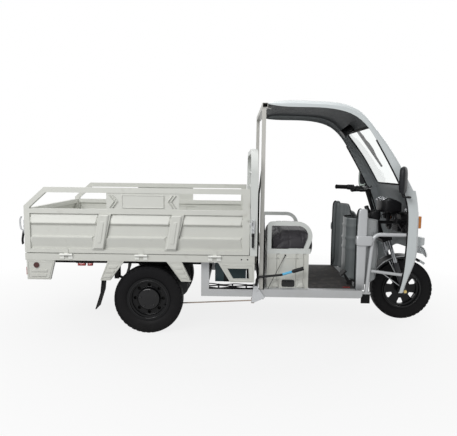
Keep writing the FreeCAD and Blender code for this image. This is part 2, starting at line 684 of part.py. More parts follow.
def upright(name, radius, height):
    bar = doc.addObject("Part::Cylinder", name)
    bind(bar, "Radius", radius)
    bind(bar, "Height", height)
    return bar


def main_frame():
    """Rails, sills, drop posts, cross-members, neck and head tube, welded end to end."""
    pieces = []
    rail_y = d.spring_centre_y - d.rail_width / 2
    rail_front = d.drop_post_x - d.drop_post_width / 2
    rail = box("rail", rail_rear_x, rail_y, beam_bottom_z - d.rail_height, rail_front - rail_rear_x,
               d.rail_width, d.rail_height)
    sill_in = d.sill_outer_y - d.sill_width
    post_rear = d.drop_post_x - d.drop_post_width / 2
    sill_block = box("sill_block", post_rear, sill_in, sill_bottom_z, d.sill_front_x - post_rear,
                     d.sill_width,
                     d.sill_height)
    nose_x = d.sill_front_x.value
    low = sill_bottom_z.value
    sill = rounded("sill", sill_block, d.sill_nose_radius, lambda edge: all(
        abs(corner.X - nose_x) < 1e-6 and abs(corner.Z - low) < 1e-6 for corner in edge.Vertexes))
    post = box("drop_post", post_rear, sill_in, d.sill_top_z, d.drop_post_width, d.sill_width,
               beam_bottom_z - d.sill_top_z)
    foot = box("guard_foot", d.sill_front_x, d.guard_y - d.guard_radius, d.sill_top_z - d.guard_radius * 2,
               d.guard_foot_x + d.guard_radius * 2 - d.sill_front_x, d.guard_radius * 2, d.guard_radius)
    for piece in (rail, sill, post, foot):
        pieces += [piece, mirrored(piece)]
    for number, x in enumerate((post_rear, d.cab_post_x, d.mat_rear_x - d.cross_width,
                                d.sill_front_x - d.cross_width)):
        pieces.append(box("cab_cross%d" % number, x, -sill_in, d.sill_top_z - d.cross_height, d.cross_width,
                          sill_in * 2, d.cross_height))
    rail_span = rail_y * 2
    for number, x in enumerate((rail_rear_x, rail_front - d.cross_width)):
        pieces.append(box("rail_cross%d" % number, x, -rail_y, beam_bottom_z - d.rail_height / 2,
                          d.cross_width,
                          rail_span, d.rail_height / 2))
    return pieces


def neck():
    """The neck beam from the front cross-member up to the bored head tube, with the cowl arm."""
    low, high = d.head_low, d.head_high
    tube = raked(upright("head_tube", d.head_radius, high - low), -d.steer_offset, 0, low)
    middle_x, middle_z = steer_point((low + high) / 2)
    foot_x = d.sill_front_x
    foot_z = d.sill_top_z - d.cross_height
    half = d.neck_depth / 2
    outline = [(foot_x, foot_z), (d.neck_foot_x + half, foot_z), (middle_x, middle_z - d.neck_depth),
               (middle_x, middle_z + d.neck_depth), (middle_x - d.neck_depth, middle_z + half),
               (foot_x, d.sill_top_z)]
    beam = side_plate("neck_beam", [outline], d.neck_width / 2, d.neck_width)
    arm_x, arm_z = steer_point(high - d.neck_depth)
    arm = rod("cowl_arm", "X", arm_x, 0, arm_z, d.cowl_arm_radius,
              d.binnacle_rear_x + d.binnacle_length - arm_x)
    post_x = d.binnacle_rear_x + d.binnacle_length / 2
    cowl_post = rod("cowl_post", "Z", post_x, 0, arm_z, d.cowl_arm_radius, d.binnacle_low_z - arm_z)
    bore = raked(upright("head_bore", d.steerer_radius + d.running_clearance,
                         high - low + d.cut_overrun * 2),
                 -d.steer_offset, 0, low - d.cut_overrun)
    return [less("neck_head", tube, bore), less("neck_beam_cut", beam, tube),
            less("cowl_arm_cut", arm, tube),
            less("cowl_post_cut", cowl_post, arm)]


# Cargo bed

gate_rear_x = bed_rear_x + d.side_clearance * 2
gate_length = d.gate_front_x - gate_rear_x
upper_rail_rear_x = bed_rear_x + d.upper_rail_setback
beam_outer_y = d.bed_half_width - d.side_clearance * 3
hinge_y = d.bed_half_width + d.hinge_offset_y
hinge_z = d.beam_top_z - d.hinge_offset_z
tail_hinge_x = bed_rear_x - d.hinge_offset_y
tail_half = d.bed_half_width - d.gate_thickness - d.tail_gap
hinge_shares = (0.185, 0.520, 0.847)
tail_hinge_shares = (-0.66, 0, 0.66)
bed_cross_shares = (0, 0.19, 0.365, 0.69, 0.885, 1)


def hinge_spots():
    return [gate_rear_x + gate_length * share for share in hinge_shares]


def tail_hinge_spots():
    return [tail_half * share for share in tail_hinge_shares]


def knuckle(name, along, centre, moving):
    """One hinge's barrels and leaf: the middle barrel moves with the gate, the outer two stay on the bed."""
    long = d.knuckle_length
    step = long + d.side_clearance
    starts = [centre - long / 2] if moving else [centre - long / 2 - step, centre - long / 2 + step]
    bore = d.hinge_pin_radius + d.running_clearance
    pieces = []
    for number, start in enumerate(starts):
        label = "%s_%d" % (name, number)
        low = hinge_z if moving else hinge_z - d.leaf_reach
        height = d.gate_bottom_z + d.leaf_reach - hinge_z if moving else d.leaf_reach
        inner = d.side_clearance * 0 if moving else d.side_clearance * 3
        if along == "X":
            barrel_piece = ring(label, "X", start, hinge_y, hinge_z, d.knuckle_radius, bore, long)
            leaf = box(label + "_leaf", start, d.bed_half_width - inner, low, long, d.leaf_plate + inner,
                       height)
        else:
            barrel_piece = ring(label, "Y", tail_hinge_x, start, hinge_z, d.knuckle_radius, bore, long)
            leaf = box(label + "_leaf", bed_rear_x - d.leaf_plate, start, low, d.leaf_plate + inner, long,
                       height)
        pieces.append(joined(label + "_welded", [barrel_piece, leaf]))
    return pieces


def bed_frame():
    """Channel side beams with hinge barrels and the mounting holes, and cross beams between them."""
    out, low, top = beam_outer_y, beam_bottom_z, d.beam_top_z
    wall, lip = d.beam_wall, d.beam_flange
    channel = [(out, low), (out, top), (out - lip, top), (out - lip, top - wall), (out - wall, top - wall),
               (out - wall, low + wall), (out - lip, low + wall), (out - lip, low)]
    beam = prism("side_beam_blank", "YZ_Plane", [channel], bed_rear_x, d.bed_length)
    holes = [rod("mount_hole%d" % number, "Y", d.mount_hole_x - d.mount_hole_spacing * number,
                 out - wall * 2,
                 top - d.mount_hole_drop, d.mount_hole_radius, wall * 3) for number in range(2)]
    drilled = less("side_beam_drilled", beam, group("mount_holes", holes))
    barrels = []
    for number, x in enumerate(hinge_spots()):
        barrels += knuckle("bed_knuckle%d" % number, "X", x, False)
    side = group("side_beam", [drilled] + barrels)
    inside = out - lip
    crosses = []
    for number, share in enumerate(bed_cross_shares):
        x = bed_rear_x + d.side_clearance * 3 + (d.bed_length - d.cross_width - d.side_clearance * 3) * share
        crosses.append(box("bed_cross%d" % number, x, -inside, low, d.cross_width, inside * 2,
                           d.beam_height))
    crosses.append(box("bed_cross_post", d.drop_post_x - d.drop_post_width / 2, -inside, low,
                       d.drop_post_width,
                       inside * 2, d.beam_height))
    tail_barrels = []
    for number, y in enumerate(tail_hinge_spots()):
        tail_barrels += knuckle("tail_bed_knuckle%d" % number, "Y", y, False)
    return [side, mirrored(side)] + crosses + tail_barrels


node("bed_frame", group("bed_frame_pieces", bed_frame()))


def cargo_floor():
    """Sheet floor pressed into lengthwise ribs."""
    half = tail_half - d.tail_gap
    ramp = d.floor_rib_height
    top = [(-half, 0)]
    for number in range(FLOOR_RIB_COUNT):
        middle = d.floor_rib_pitch * (number - (FLOOR_RIB_COUNT - 1) / 2)
        rib = d.floor_rib_width / 2
        top += [(middle - rib - ramp, 0), (middle - rib, 1), (middle + rib, 1), (middle + rib + ramp, 0)]
    top.append((half, 0))
    upper = [(y, d.beam_top_z + d.floor_wall + d.floor_rib_height * up) for y, up in top]
    lower = [(y, d.beam_top_z + d.floor_rib_height * up) for y, up in reversed(top)]
    start = bed_rear_x + d.gate_thickness + d.tail_gap
    return prism("floor_sheet", "YZ_Plane", [upper + lower], start, d.hoop_rear_x - d.tail_gap - start)


node("cargo_floor", cargo_floor())
headboard_bar_shares = (0.36, 0.66)
headboard_rib_shares = (0.22, 0.5, 0.78)


def headboard():
    """Arched hoop on the side beams, a ribbed front panel and two cross bars."""
    out, top, low = d.bed_half_width, d.hoop_top_z, d.beam_top_z
    inn, under = out - d.hoop_depth, top - d.hoop_depth
    middle_x = d.hoop_rear_x + d.hoop_width / 2
    leg_y = out - d.hoop_depth / 2
    bend_z = top - d.hoop_depth / 2
    path = bent_path([(middle_x, -leg_y, low), (middle_x, -leg_y, bend_z), (middle_x, leg_y, bend_z),
                      (middle_x, leg_y, low)], d.hoop_corner - d.hoop_depth / 2)
    ends = [(d.hoop_rear_x, -out), (d.hoop_rear_x, -inn), (d.hoop_rear_x + d.hoop_width, -inn),
            (d.hoop_rear_x + d.hoop_width, -out), (d.hoop_rear_x, -out)]
    section = Part.makePolygon([spot(x, y, low) for x, y in ends])
    hoop = solid("hoop", path.makePipeShell([section], True, False))
    face_x = d.hoop_rear_x + d.headboard_wall
    deep = d.hoop_width / 4
    high = d.gate_top_z - low
    step = d.floor_rib_width / 2
    front = [(face_x, low)]
    for share in headboard_rib_shares:
        middle = low + high * share
        front += [(face_x, middle - step), (face_x + deep, middle - step / 2),
                  (face_x + deep, middle + step / 2),
                  (face_x, middle + step)]
    front.append((face_x, d.gate_top_z))
    back = [(x - d.headboard_wall, z) for x, z in reversed(front)]
    panel = side_plate("headboard_panel", [front + back], inn, inn * 2)
    bars = [rod("headboard_bar%d" % number, "Y", middle_x, -inn,
                d.gate_top_z + (under - d.gate_top_z) * share,
                d.headboard_bar_radius, inn * 2) for number, share in enumerate(headboard_bar_shares)]
    return [hoop, panel] + bars


node("headboard", group("headboard_pieces", headboard()))
# heights up the gate panel and whether each stands at the rib's depth (1) or the panel's depth (0)
panel_relief_shares = [(0, 0), (0.115, 0), (0.260, 1), (0.325, 1), (0.345, 0), (0.710, 0), (0.735, 1),
                       (0.870, 1),
                       (0.895, 0), (1, 0)]


def panel_outline(face, inward, low, high):
    """The pressed gate panel's section: outer surface up, inner surface back down."""
    front = []
    for up, raised in panel_relief_shares:
        deep = d.panel_rib_depth * raised + d.panel_depth * (1 - raised)
        front.append((face + deep * inward, low + (high - low) * up))
    back = [(across + d.panel_wall * inward, z) for across, z in reversed(front)]
    return front + back


def stake(name, foot_x, low, high, y):
    """A leaning pressed stake with a raised middle."""
    lean = d.stake_lean

    def slanted(margin):
        rise = (high - low) * margin
        inset = d.stake_width * margin
        shift = lean * margin
        return [(foot_x - d.stake_width / 2 + inset + shift, low + rise),
                (foot_x + d.stake_width / 2 - inset + shift, low + rise),
                (foot_x + d.stake_width / 2 - inset + lean - shift, high - rise),
                (foot_x - d.stake_width / 2 + inset + lean - shift, high - rise)]

    base = side_plate(name + "_base", [slanted(0)], y + d.stake_depth, d.stake_depth)
    raised = side_plate(name + "_raised", [slanted(0.16)], y + d.stake_depth + d.plate_relief,
                        d.plate_relief + d.stake_depth / 2)
    return joined(name, [base, raised])


def chevron(name, tip_x, pointing, middle, y):
    """One raised arrow bar of the ornamental plate."""
    half = (d.upper_rail_z - d.upper_rail_height - d.gate_top_z) / 2 - d.plate_margin
    back = tip_x - d.chevron_width * pointing
    bar = d.chevron_bar * pointing
    outline = [(back, middle + half), (tip_x, middle), (back, middle - half), (back - bar, middle - half),
               (tip_x - bar, middle), (back - bar, middle + half)]
    return side_plate(name, [outline], y + d.plate_relief, d.plate_relief + d.plate_wall / 2)


plate_end_shares = (0.3675, 0.6887)
plate_field_shares = (0.22, 0.79)
chevron_shares = ((0.165, 1), (0.835, -1))


def ornament_plate():
    """The plate between gate rail and upper rail, with a raised field and arrows at its ends."""
    low, high = d.gate_top_z, d.upper_rail_z - d.upper_rail_height
    y = d.bed_half_width - d.panel_rib_depth
    rear, front = [gate_rear_x + gate_length * share for share in plate_end_shares]
    long = front - rear

    def rectangle(start, end, margin):
        return [(start, low + margin), (end, low + margin), (end, high - margin), (start, high - margin)]

    sheet_plate = side_plate("ornament_sheet", [rectangle(rear, front, 0)], y, d.plate_wall)
    ends = [rear + long * share for share in plate_field_shares]
    field = side_plate("ornament_field", [rectangle(ends[0], ends[1], d.plate_margin)], y + d.plate_relief,
                       d.plate_relief + d.plate_wall / 2)
    arrows = []
    for share, pointing in chevron_shares:
        for number in range(2):
            tip = rear + long * share - d.chevron_pitch * (number * pointing)
            arrows.append(chevron("ornament_arrow%d_%d" % (number, pointing + 1), tip, pointing,
                                  (low + high) / 2, y))
    return joined("ornament_plate", [sheet_plate, field] + arrows)


stake_shares = (0.3264, 0.6493)


def side_gate():
    """Drop side: welded frame with the upper rail, pressed panel, stakes and ornamental plate."""
    rear, front = gate_rear_x, d.gate_front_x
    low, top = d.gate_bottom_z, d.gate_top_z
    y = d.bed_half_width
    post_in, post_out = rear + d.gate_rear_post, front - d.gate_front_post
    rail_low = d.upper_rail_z - d.upper_rail_height
    slope = d.upper_rail_height / 4
    outer = [(rear, low), (front, low), (front, d.upper_rail_z), (upper_rail_rear_x, d.upper_rail_z),
             (rear, d.rear_post_top_z)]
    window = [(post_in, low + d.gate_low_rail), (post_out, low + d.gate_low_rail),
              (post_out, top - d.gate_top_rail),
              (post_in, top - d.gate_top_rail)]
    gap = [(post_in, top), (post_out, top), (post_out, rail_low), (upper_rail_rear_x + slope, rail_low),
           (post_in, d.rear_post_top_z - slope)]
    frame = side_plate("gate_frame", [outer, window, gap], y, d.gate_thickness)
    barrels = []
    for number, x in enumerate(hinge_spots()):
        barrels += knuckle("gate_knuckle%d" % number, "X", x, True)
    striker = box("gate_striker", front - d.striker_width, y, d.striker_z - d.striker_height / 2,
                  d.striker_width,
                  d.striker_depth, d.striker_height)
    sheet_low, sheet_high = low + d.gate_low_rail, top - d.gate_top_rail
    panel = prism("gate_panel", "YZ_Plane", [panel_outline(y, -1, sheet_low, sheet_high)], post_in,
                  post_out - post_in)
    face = y - d.panel_rib_depth
    stakes = [stake("gate_stake%d" % number, rear + gate_length * share, sheet_low, sheet_high, face)
              for number, share in enumerate(stake_shares)]
    return group("side_gate", [frame, striker, panel, ornament_plate()] + stakes + barrels)


left_gate = node("gate_left", side_gate())
node("gate_right", mirrored(left_gate))
tail_stake_shares = (-0.34, 0.34)


def tailgate():
    """Rear gate between the side gates, hinged at its foot."""
    low, top = d.gate_bottom_z, d.gate_top_z
    half = tail_half
    post = d.gate_rear_post
    outer = [(-half, low), (half, low), (half, top), (-half, top)]
    sheet_low, sheet_high = low + d.gate_low_rail, top - d.gate_top_rail
    window = [(post - half, sheet_low), (half - post, sheet_low), (half - post, sheet_high),
              (post - half, sheet_high)]
    frame = prism("tail_frame", "YZ_Plane", [outer, window], bed_rear_x, d.gate_thickness)
    barrels = []
    for number, y in enumerate(tail_hinge_spots()):
        barrels += knuckle("tail_knuckle%d" % number, "Y", y, True)
    striker = box("tail_striker", bed_rear_x - d.striker_depth,
                  half - d.striker_width - d.side_clearance * 10,
                  d.striker_z - d.striker_height / 2, d.striker_depth, d.striker_width, d.striker_height)
    panel = side_plate("tail_panel", [panel_outline(bed_rear_x, 1, sheet_low, sheet_high)], half - post,
                       (half - post) * 2)
    stakes = [box("tail_stake%d" % number, bed_rear_x + d.panel_rib_depth - d.stake_depth,
                  half * share - d.stake_width / 2, sheet_low, d.stake_depth, d.stake_width,
                  sheet_high - sheet_low)
              for number, share in enumerate(tail_stake_shares)]
    return group("tailgate_pieces", [frame, striker, mirrored(striker), panel] + stakes + barrels)


node("tailgate", tailgate())


def hinge_pins():
    """The pins of all gate hinges."""
    long = d.knuckle_length * 3 + d.side_clearance * 2
    pins = [rod("hinge_pin%d" % number, "X", x - long / 2, hinge_y, hinge_z, d.hinge_pin_radius, long)
            for number, x in enumerate(hinge_spots())]
    pins += [mirrored(pin) for pin in pins]
    pins += [rod("tail_hinge_pin%d" % number, "Y", tail_hinge_x, y - long / 2, hinge_z, d.hinge_pin_radius,
                 long)
             for number, y in enumerate(tail_hinge_spots())]
    return pins


node("hinge_pins", group("hinge_pin_set", hinge_pins()))
front_latch_x = d.hoop_rear_x + d.latch_width * 0.85
rear_latch_y = d.bed_half_width - d.gate_thickness / 2


def latch_outline(across, nose):
    """A hooked lever about its pivot: hook above with its nose to one side, handle below."""
    half = d.latch_width / 2
    z = d.latch_pivot_z
    hook_low = z + d.latch_reach_up / 2
    sign = 1 if nose.value > across.value else -1
    return [(across - half * sign, z - d.latch_handle), (across - half * sign, z + d.latch_reach_up),
            (nose, z + d.latch_reach_up), (nose, hook_low), (across + half * sign, hook_low),
            (across + half * sign, z - d.latch_handle)]


def front_latch():
    """Gate latch turning on a stud on the headboard hoop's leg."""
    y = d.bed_half_width + d.latch_standoff
    nose = d.gate_front_x + d.tail_gap
    lever = side_plate("front_latch_lever", [latch_outline(front_latch_x, nose)], y + d.latch_plate,
                       d.latch_plate)
    stud = rod("front_latch_stud", "Y", front_latch_x, d.bed_half_width + d.seat_gap, d.latch_pivot_z,
               d.latch_pivot_radius, d.latch_standoff * 2 + d.latch_plate)
    return joined("front_latch", [lever, stud])


def rear_latch():
    """Tailgate latch turning on a stud on the side gate's rear post, with a standing grip."""
    x = gate_rear_x - d.latch_standoff - d.latch_plate
    nose = tail_half + d.tail_gap * 1.5
    lever = prism("rear_latch_lever", "YZ_Plane", [latch_outline(rear_latch_y, nose)], x, d.latch_plate)
    stud = rod("rear_latch_stud", "X", x - d.latch_standoff, rear_latch_y, d.latch_pivot_z,
               d.latch_pivot_radius,
               d.latch_standoff * 2 + d.latch_plate - d.seat_gap)
    grip = box("rear_latch_grip", x - d.latch_kick, rear_latch_y - d.latch_width / 3,
               d.latch_pivot_z - d.latch_handle,
               d.latch_kick, d.latch_width / 1.5, d.latch_handle / 2)
    return joined("rear_latch", [lever, stud, grip])


left_front_latch = node("latch_front_left", front_latch())
node("latch_front_right", mirrored(left_front_latch))
left_rear_latch = node("latch_rear_left", rear_latch())
node("latch_rear_right", mirrored(left_rear_latch))

# corners of the skirt brackets: share of the bed's length from its rear, and of the skirt's height
skirt_shares = {
    "rear": [(0.006, 0), (0.106, 0), (0.128, 1), (0.004, 1)],
    "stay_rear": [(0.326, 0), (0.370, 0), (0.432, 1), (0.360, 1)],
    "stay_front": [(0.681, 0), (0.725, 0), (0.683, 1), (0.617, 1)],
    "front": [(0.895, 0), (1, 0), (1, 1), (0.841, 1)],
}
flap_share = 0.325
flap_top_x = bed_rear_x + d.bed_length * flap_share
skirt_window_shares = [(0.907, 0.20), (0.977, 0.20), (0.974, 0.70), (0.883, 0.70)]


def skirt_point(share):
    return (bed_rear_x + d.bed_length * share[0],
            d.skirt_bottom_z + (beam_bottom_z - d.skirt_bottom_z) * share[1])


def skirt_brackets():
    """Pressed trays under the side beams, the front one with a window, and the mud flap's hanger rod."""
    y = d.bed_half_width - d.skirt_inset
    pieces = []
    for label, shares in skirt_shares.items():
        middle = [sum(share[axis] for share in shares) / len(shares) for axis in (0, 1)]
        inner = [[middle[axis] + (share[axis] - middle[axis]) * 0.84 for axis in (0,
                                                                                  1)] for share in shares]
        tray = side_plate("skirt_%s_tray" % label, [[skirt_point(share) for share in shares]], y,
                          d.skirt_depth)
        hollow = side_plate("skirt_%s_hollow" % label, [[skirt_point(share) for share in inner]],
                            y - d.skirt_wall,
                            d.skirt_depth)
        tools = [hollow]
        if label == "front":
            window = [skirt_point(share) for share in skirt_window_shares]
            tools.append(side_plate("skirt_window", [window], y + d.cut_overrun, d.skirt_depth))
        pieces.append(less("skirt_%s" % label, tray, group("skirt_%s_tools" % label, tools)))
    hanger = rod("flap_hanger", "Y", flap_top_x + d.flap_wall + d.hanger_radius, wheel_y - d.flap_width / 2,
                 d.skirt_bottom_z + d.hanger_radius * 2, d.hanger_radius,
                 y - d.skirt_depth - wheel_y + d.flap_width / 2)
    return pieces + [hanger]


node("skirt_brackets", pair("skirt_bracket_pair", group("skirt_side", skirt_brackets())))


def mud_flaps():
    """A swept rubber flap behind each rear wheel and a short flap under each guard foot."""
    top = d.skirt_bottom_z + d.hanger_radius * 3
    foot = top - d.flap_length
    bend = top - d.flap_length / 2
    x = flap_top_x
    slack = d.flap_lean / 4
    outline = [(x, top), (x - slack, bend), (x - d.flap_lean, foot), (x - d.flap_lean + d.flap_wall, foot),
               (x - slack + d.flap_wall, bend), (x + d.flap_wall, top)]
    rear = side_plate("flap_rear", [outline], wheel_y + d.flap_width / 2, d.flap_width)
    front = box("flap_front", d.sill_front_x, d.guard_y - d.flap_wall / 2,
                d.sill_top_z - d.guard_radius * 2 - d.front_flap_height, d.front_flap_width, d.flap_wall,
                d.front_flap_height)
    return group("flap_side", [rear, front])


node("mud_flaps", pair("mud_flap_pair", mud_flaps()))


def tail_lamp():
    """A lamp at each end of the lamp bar under the bed's tail."""
    x = rail_rear_x - d.cross_width / 2 - d.lamp_depth
    return box("tail_lamp", x, d.bed_half_width - d.beam_flange - d.lamp_length, d.lamp_bar_z, d.lamp_depth,
               d.lamp_length, d.lamp_height)


reflector = rod("reflector", "Y", bed_rear_x + d.reflector_setback, d.bed_half_width - d.skirt_inset,
                d.reflector_z, d.reflector_radius,
                d.reflector_wall)
node("tail_lamps", pair("tail_lamp_pair", group("lamp_side", [tail_lamp(), reflector])))


def battery_pack():
    """Battery case hung from two cross beams."""
    half = d.battery_half_width
    low = d.battery_top_z - d.battery_height
    case = box("battery_case", d.battery_front_x - d.battery_length, -half, low, d.battery_length, half * 2,
               d.battery_height)
    lid = box("battery_lid", d.battery_front_x - d.battery_length - d.rim_wall, -half,
              d.battery_top_z - d.cross_width,
              d.battery_length + d.rim_wall * 2, half * 2, d.rim_wall * 2)
    return joined("battery_with_lid", [case, lid])


node("battery_pack", battery_pack())


def lamp_bar():
    """The bar on the rails' rear ends that carries the tail lamps."""
    half = d.bed_half_width - d.beam_flange
    low = d.lamp_bar_z + d.lamp_height - d.lamp_bar_height / 2
    return box("lamp_bar_body", rail_rear_x - d.cross_width / 2, -half, low, d.cross_width / 2, half * 2,
               d.lamp_bar_height)


def battery_hangers():
    """Straps that carry the battery from the cross beams."""
    straps = []
    for number, share in enumerate(bed_cross_shares[-2:]):
        x = bed_rear_x + d.side_clearance * 3 + (d.bed_length - d.cross_width - d.side_clearance * 3) * share
        start = x if number == 0 else d.battery_front_x + d.rim_wall
        low = d.battery_top_z - d.battery_height
        strap = box("battery_strap%d" % number, start, d.battery_half_width - d.cross_width * number, low,
                    d.cross_width if number == 0 else x + d.cross_width - start,
                    d.cheek_wall if number == 0 else d.cross_width, beam_bottom_z - low)
        straps += [strap, mirrored(strap)]
    return straps


def lever_bracket():
    """Block on the sill with the parking lever's pivot pin."""
    half = d.crank_width / 2
    block = box("lever_bracket_block", d.lever_pivot_x - half, -d.sill_outer_y, d.sill_top_z, half * 2,
                d.crank_width * 0.75, half * 2)
    reach = d.lever_y + d.lever_radius + d.side_clearance * 4
    pin = rod("lever_pivot_pin", "Y", d.lever_pivot_x, -reach, d.lever_pivot_z, d.crank_pin_radius,
              reach - d.sill_outer_y)
    return joined("lever_bracket", [block, pin])


node("main_frame", group("main_frame_pieces", main_frame() + neck() + [hanger_pair, lamp_bar(),
                                                                       lever_bracket()]
                           + battery_hangers()))


# Cab floor and seat

node("floor_pan", box("floor_pan_sheet", d.pan_rear_x, -d.sill_outer_y, d.sill_top_z,
                      d.sill_front_x - d.pan_rear_x,
                      d.sill_outer_y * 2, d.pan_wall))
node("floor_mat", box("floor_mat_sheet", d.mat_rear_x, -d.mat_half_width, pan_top_z,
                      d.mat_front_x - d.mat_rear_x,
                      d.mat_half_width * 2, d.mat_wall))
flute_shares = (0.265, 0.725, 0.90)


def seat_base():
    """The box under the seat with upright flutes pressed into its sides."""
    half = d.seat_half_width
    edge = [(d.seat_rear_x, half)]
    for share in flute_shares:
        middle = d.seat_rear_x + d.seat_length * share
        rim = d.flute_width / 2
        edge += [(middle - rim, half), (middle - rim / 2, half - d.flute_depth),
                 (middle + rim / 2, half - d.flute_depth),
                 (middle + rim, half)]
    edge.append((d.seat_rear_x + d.seat_length, half))
    other = [(x, -y) for x, y in reversed(edge)]
    return prism("seat_box", "XY_Plane", [edge + other], pan_top_z, d.seat_base_top_z - pan_top_z)


node("seat_base", seat_base())


def side_frame():
    """One pressed hoop at the seat's end: a foot bar and a bent rail over it."""
    low, high = d.seat_base_top_z, d.seat_base_top_z + d.side_frame_height
    rear, front = d.seat_rear_x, d.seat_rear_x + d.side_frame_length
    bar = d.side_frame_bar
    y = d.seat_half_width
    foot = box("side_frame_foot_bar", rear, y - d.side_frame_width, low, front - rear, d.side_frame_width,
               d.side_frame_foot)
    middle_y = y - d.side_frame_width / 2
    base_z = low + d.side_frame_foot
    path = bent_path([(rear + bar / 2, middle_y, base_z), (rear + bar / 2, middle_y, high - bar / 2),
                      (rear + d.side_frame_reach, middle_y, high - bar / 2),
                      (rear + d.side_frame_heel, middle_y, low + d.side_frame_foot / 2)],
                     d.side_frame_corner, d.side_frame_radius)
    corners = [(rear, y - d.side_frame_width), (rear + bar, y - d.side_frame_width), (rear + bar, y),
               (rear, y)]
    section = Part.makePolygon([spot(x, across, base_z) for x, across in corners + corners[:1]])
    hoop = solid("side_frame_sweep", path.makePipeShell([section], True, False))
    return group("side_frame", [foot, less("side_frame_hoop", hoop, foot)])


node("seat_side_frames", pair("side_frame_pair", side_frame()))
cushion_side_shares = [(0, 0), (0, 0.90), (0.05, 1), (0.16, 1), (0.19, 0.82), (0.60, 0.80), (0.90, 0.70),
                       (0.99, 0.48),
                       (1, 0.22), (0.96, 0)]
cushion_station_shares = [(-1, 0.80), (-0.96, 0.93), (-0.86, 1), (-0.45, 1.09), (0, 1.12), (0.45, 1.09),
                          (0.86, 1),
                          (0.96, 0.93), (1, 0.80)]


def seat_cushion():
    """Soft bench pad: raised at its rear, drooping at its nose, crowned across and drawn in at its ends."""
    rear = d.seat_rear_x + d.side_frame_bar
    length = d.side_frame_length + d.cushion_nose - d.side_frame_bar
    low = d.seat_base_top_z
    rise = d.cushion_height + d.cushion_rise
    wires = []
    for across, full in cushion_station_shares:
        inset = d.cushion_edge * (1 - min(full, 1))
        points = []
        for along, up in cushion_side_shares:
            x = rear + inset + (length - inset * 2) * along
            points.append(spot(x, d.cushion_half_width * across, low + rise * (up * full)))
        wires.append(Part.makePolygon(points + points[:1]))
    return solid("cushion_pad", Part.makeLoft(wires, True, True))


node("seat_cushion", seat_cushion())


# Cab rear frame and canopy

canopy_outer_shares = [(0, 0.966), (0.120, 0.997), (0.319, 0.993), (0.538, 0.952), (0.618, 0.888),
                       (0.688, 0.774),
                       (0.857, 0.409), (1, 0)]
canopy_door_shares = [(0, 0.945), (0.212, 0.915), (0.493, 0.880), (0.561, 0.841), (0.641, 0.746),
                      (0.754, 0.482),
                      (0.849, 0.207), (0.915, 0)]
canopy_station_shares = [(-1, 0.6), (-0.975, 0.22), (-0.92, 0.04), (-0.75, 0), (0.75, 0), (0.92, 0.04),
                         (0.975, 0.22),
                         (1, 0.6)]


def canopy_point(share):
    return FreeCAD.Vector(d.canopy_rear_x.value + (d.screen_foot_x.value - d.canopy_rear_x.value) * share[0], 0,
                          d.screen_foot_z.value + (d.canopy_top_z.value - d.screen_foot_z.value) * share[1])


def smooth(points):
    """A smooth curve through points."""
    curve = Part.BSplineCurve()
    curve.interpolate(points)
    return curve


canopy_curve = smooth([canopy_point(share) for share in canopy_outer_shares])
door_curve = smooth([canopy_point(share) for share in canopy_door_shares])
CURVE_STEPS = 28


def along_curve(curve, inset, count=CURVE_STEPS, ends=(0, 1)):
    """Points along a canopy curve, moved inwards from it."""
    first, last = curve.FirstParameter, curve.LastParameter
    points = []
    for number in range(count + 1):
        share = ends[0] + (ends[1] - ends[0]) * number / count
        at = first + (last - first) * share
        heading = curve.tangent(at)[0]
        normal = FreeCAD.Vector(heading.z, 0, -heading.x)
        if normal.z > 0:
            normal = normal * -1
        points.append(curve.value(at) + normal * inset(share))
    return points


def moved_across(points, y):
    return [FreeCAD.Vector(item.x, y, item.z) for item in points]


def canopy_solid(half, inset, under):
    """The canopy's filled form: roof curve above, door curve below, rounded down towards its sides."""
    wires = []
    first, last = canopy_curve.FirstParameter, canopy_curve.LastParameter
    for across, drop in canopy_station_shares:

        def depth(share):
            gap = (canopy_curve.value(first + (last - first) * share)
                   - door_curve.value(door_curve.FirstParameter
                                      + (door_curve.LastParameter - door_curve.FirstParameter) * share)).Length
            return inset.value + drop * min(d.canopy_edge.value, gap)

        top = along_curve(canopy_curve, depth)
        low = along_curve(door_curve, lambda share: under.value)
        points = moved_across(top + list(reversed(low)), half.value * across)
        wires.append(Part.makePolygon(points + points[:1]))
    return Part.makeLoft(wires, True, True)


def sheet_along(name, near, far, half, ends):
    """A sheet between two depths under the canopy's curve, straight across, on the canopy's own steps."""
    count = round(CURVE_STEPS * (ends[1] - ends[0]))
    top = along_curve(canopy_curve, lambda share: near.value, count, ends)
    low = along_curve(canopy_curve, lambda share: far.value, count, ends)
    points = moved_across(top + list(reversed(low)), -half.value)
    face = Part.Face(Part.makePolygon(points + points[:1]))
    return solid(name, face.extrude(FreeCAD.Vector(0, half.value * 2, 0)))


def aperture(name, margin):
    """The rounded opening of the windscreen, as a block through the canopy's front."""
    half = d.screen_half_width - margin
    low, high = d.screen_low_z + margin, d.screen_high_z - margin
    deep = d.screen_foot_x - d.canopy_rear_x
    block = box(name + "_block", d.canopy_rear_x + deep / 2, -half, low, deep, half * 2, high - low)
    doc.recompute()
    return rounded(name, block, d.screen_corner - margin, lambda edge: abs(
        edge.Vertexes[0].X - edge.Vertexes[-1].X) > deep.value / 2)


def canopy_shell():
    """Moulded roof and windscreen frame, open below."""
    outer = canopy_solid(d.canopy_half_width, sized(0), sized(0))
    cavity = canopy_solid(d.canopy_half_width - d.canopy_wall, d.canopy_wall, d.canopy_edge)
    skin = solid("canopy_skin", outer.cut(cavity))
    under = box("canopy_level_cut", d.canopy_rear_x, -d.canopy_half_width,
                d.screen_foot_z - d.canopy_edge * 2,
                (d.screen_foot_x - d.canopy_rear_x) * 2, d.canopy_half_width * 2, d.canopy_edge * 2)
    return less("canopy_open", less("canopy_level", skin, under),
                aperture("screen_aperture", d.side_clearance * 0))


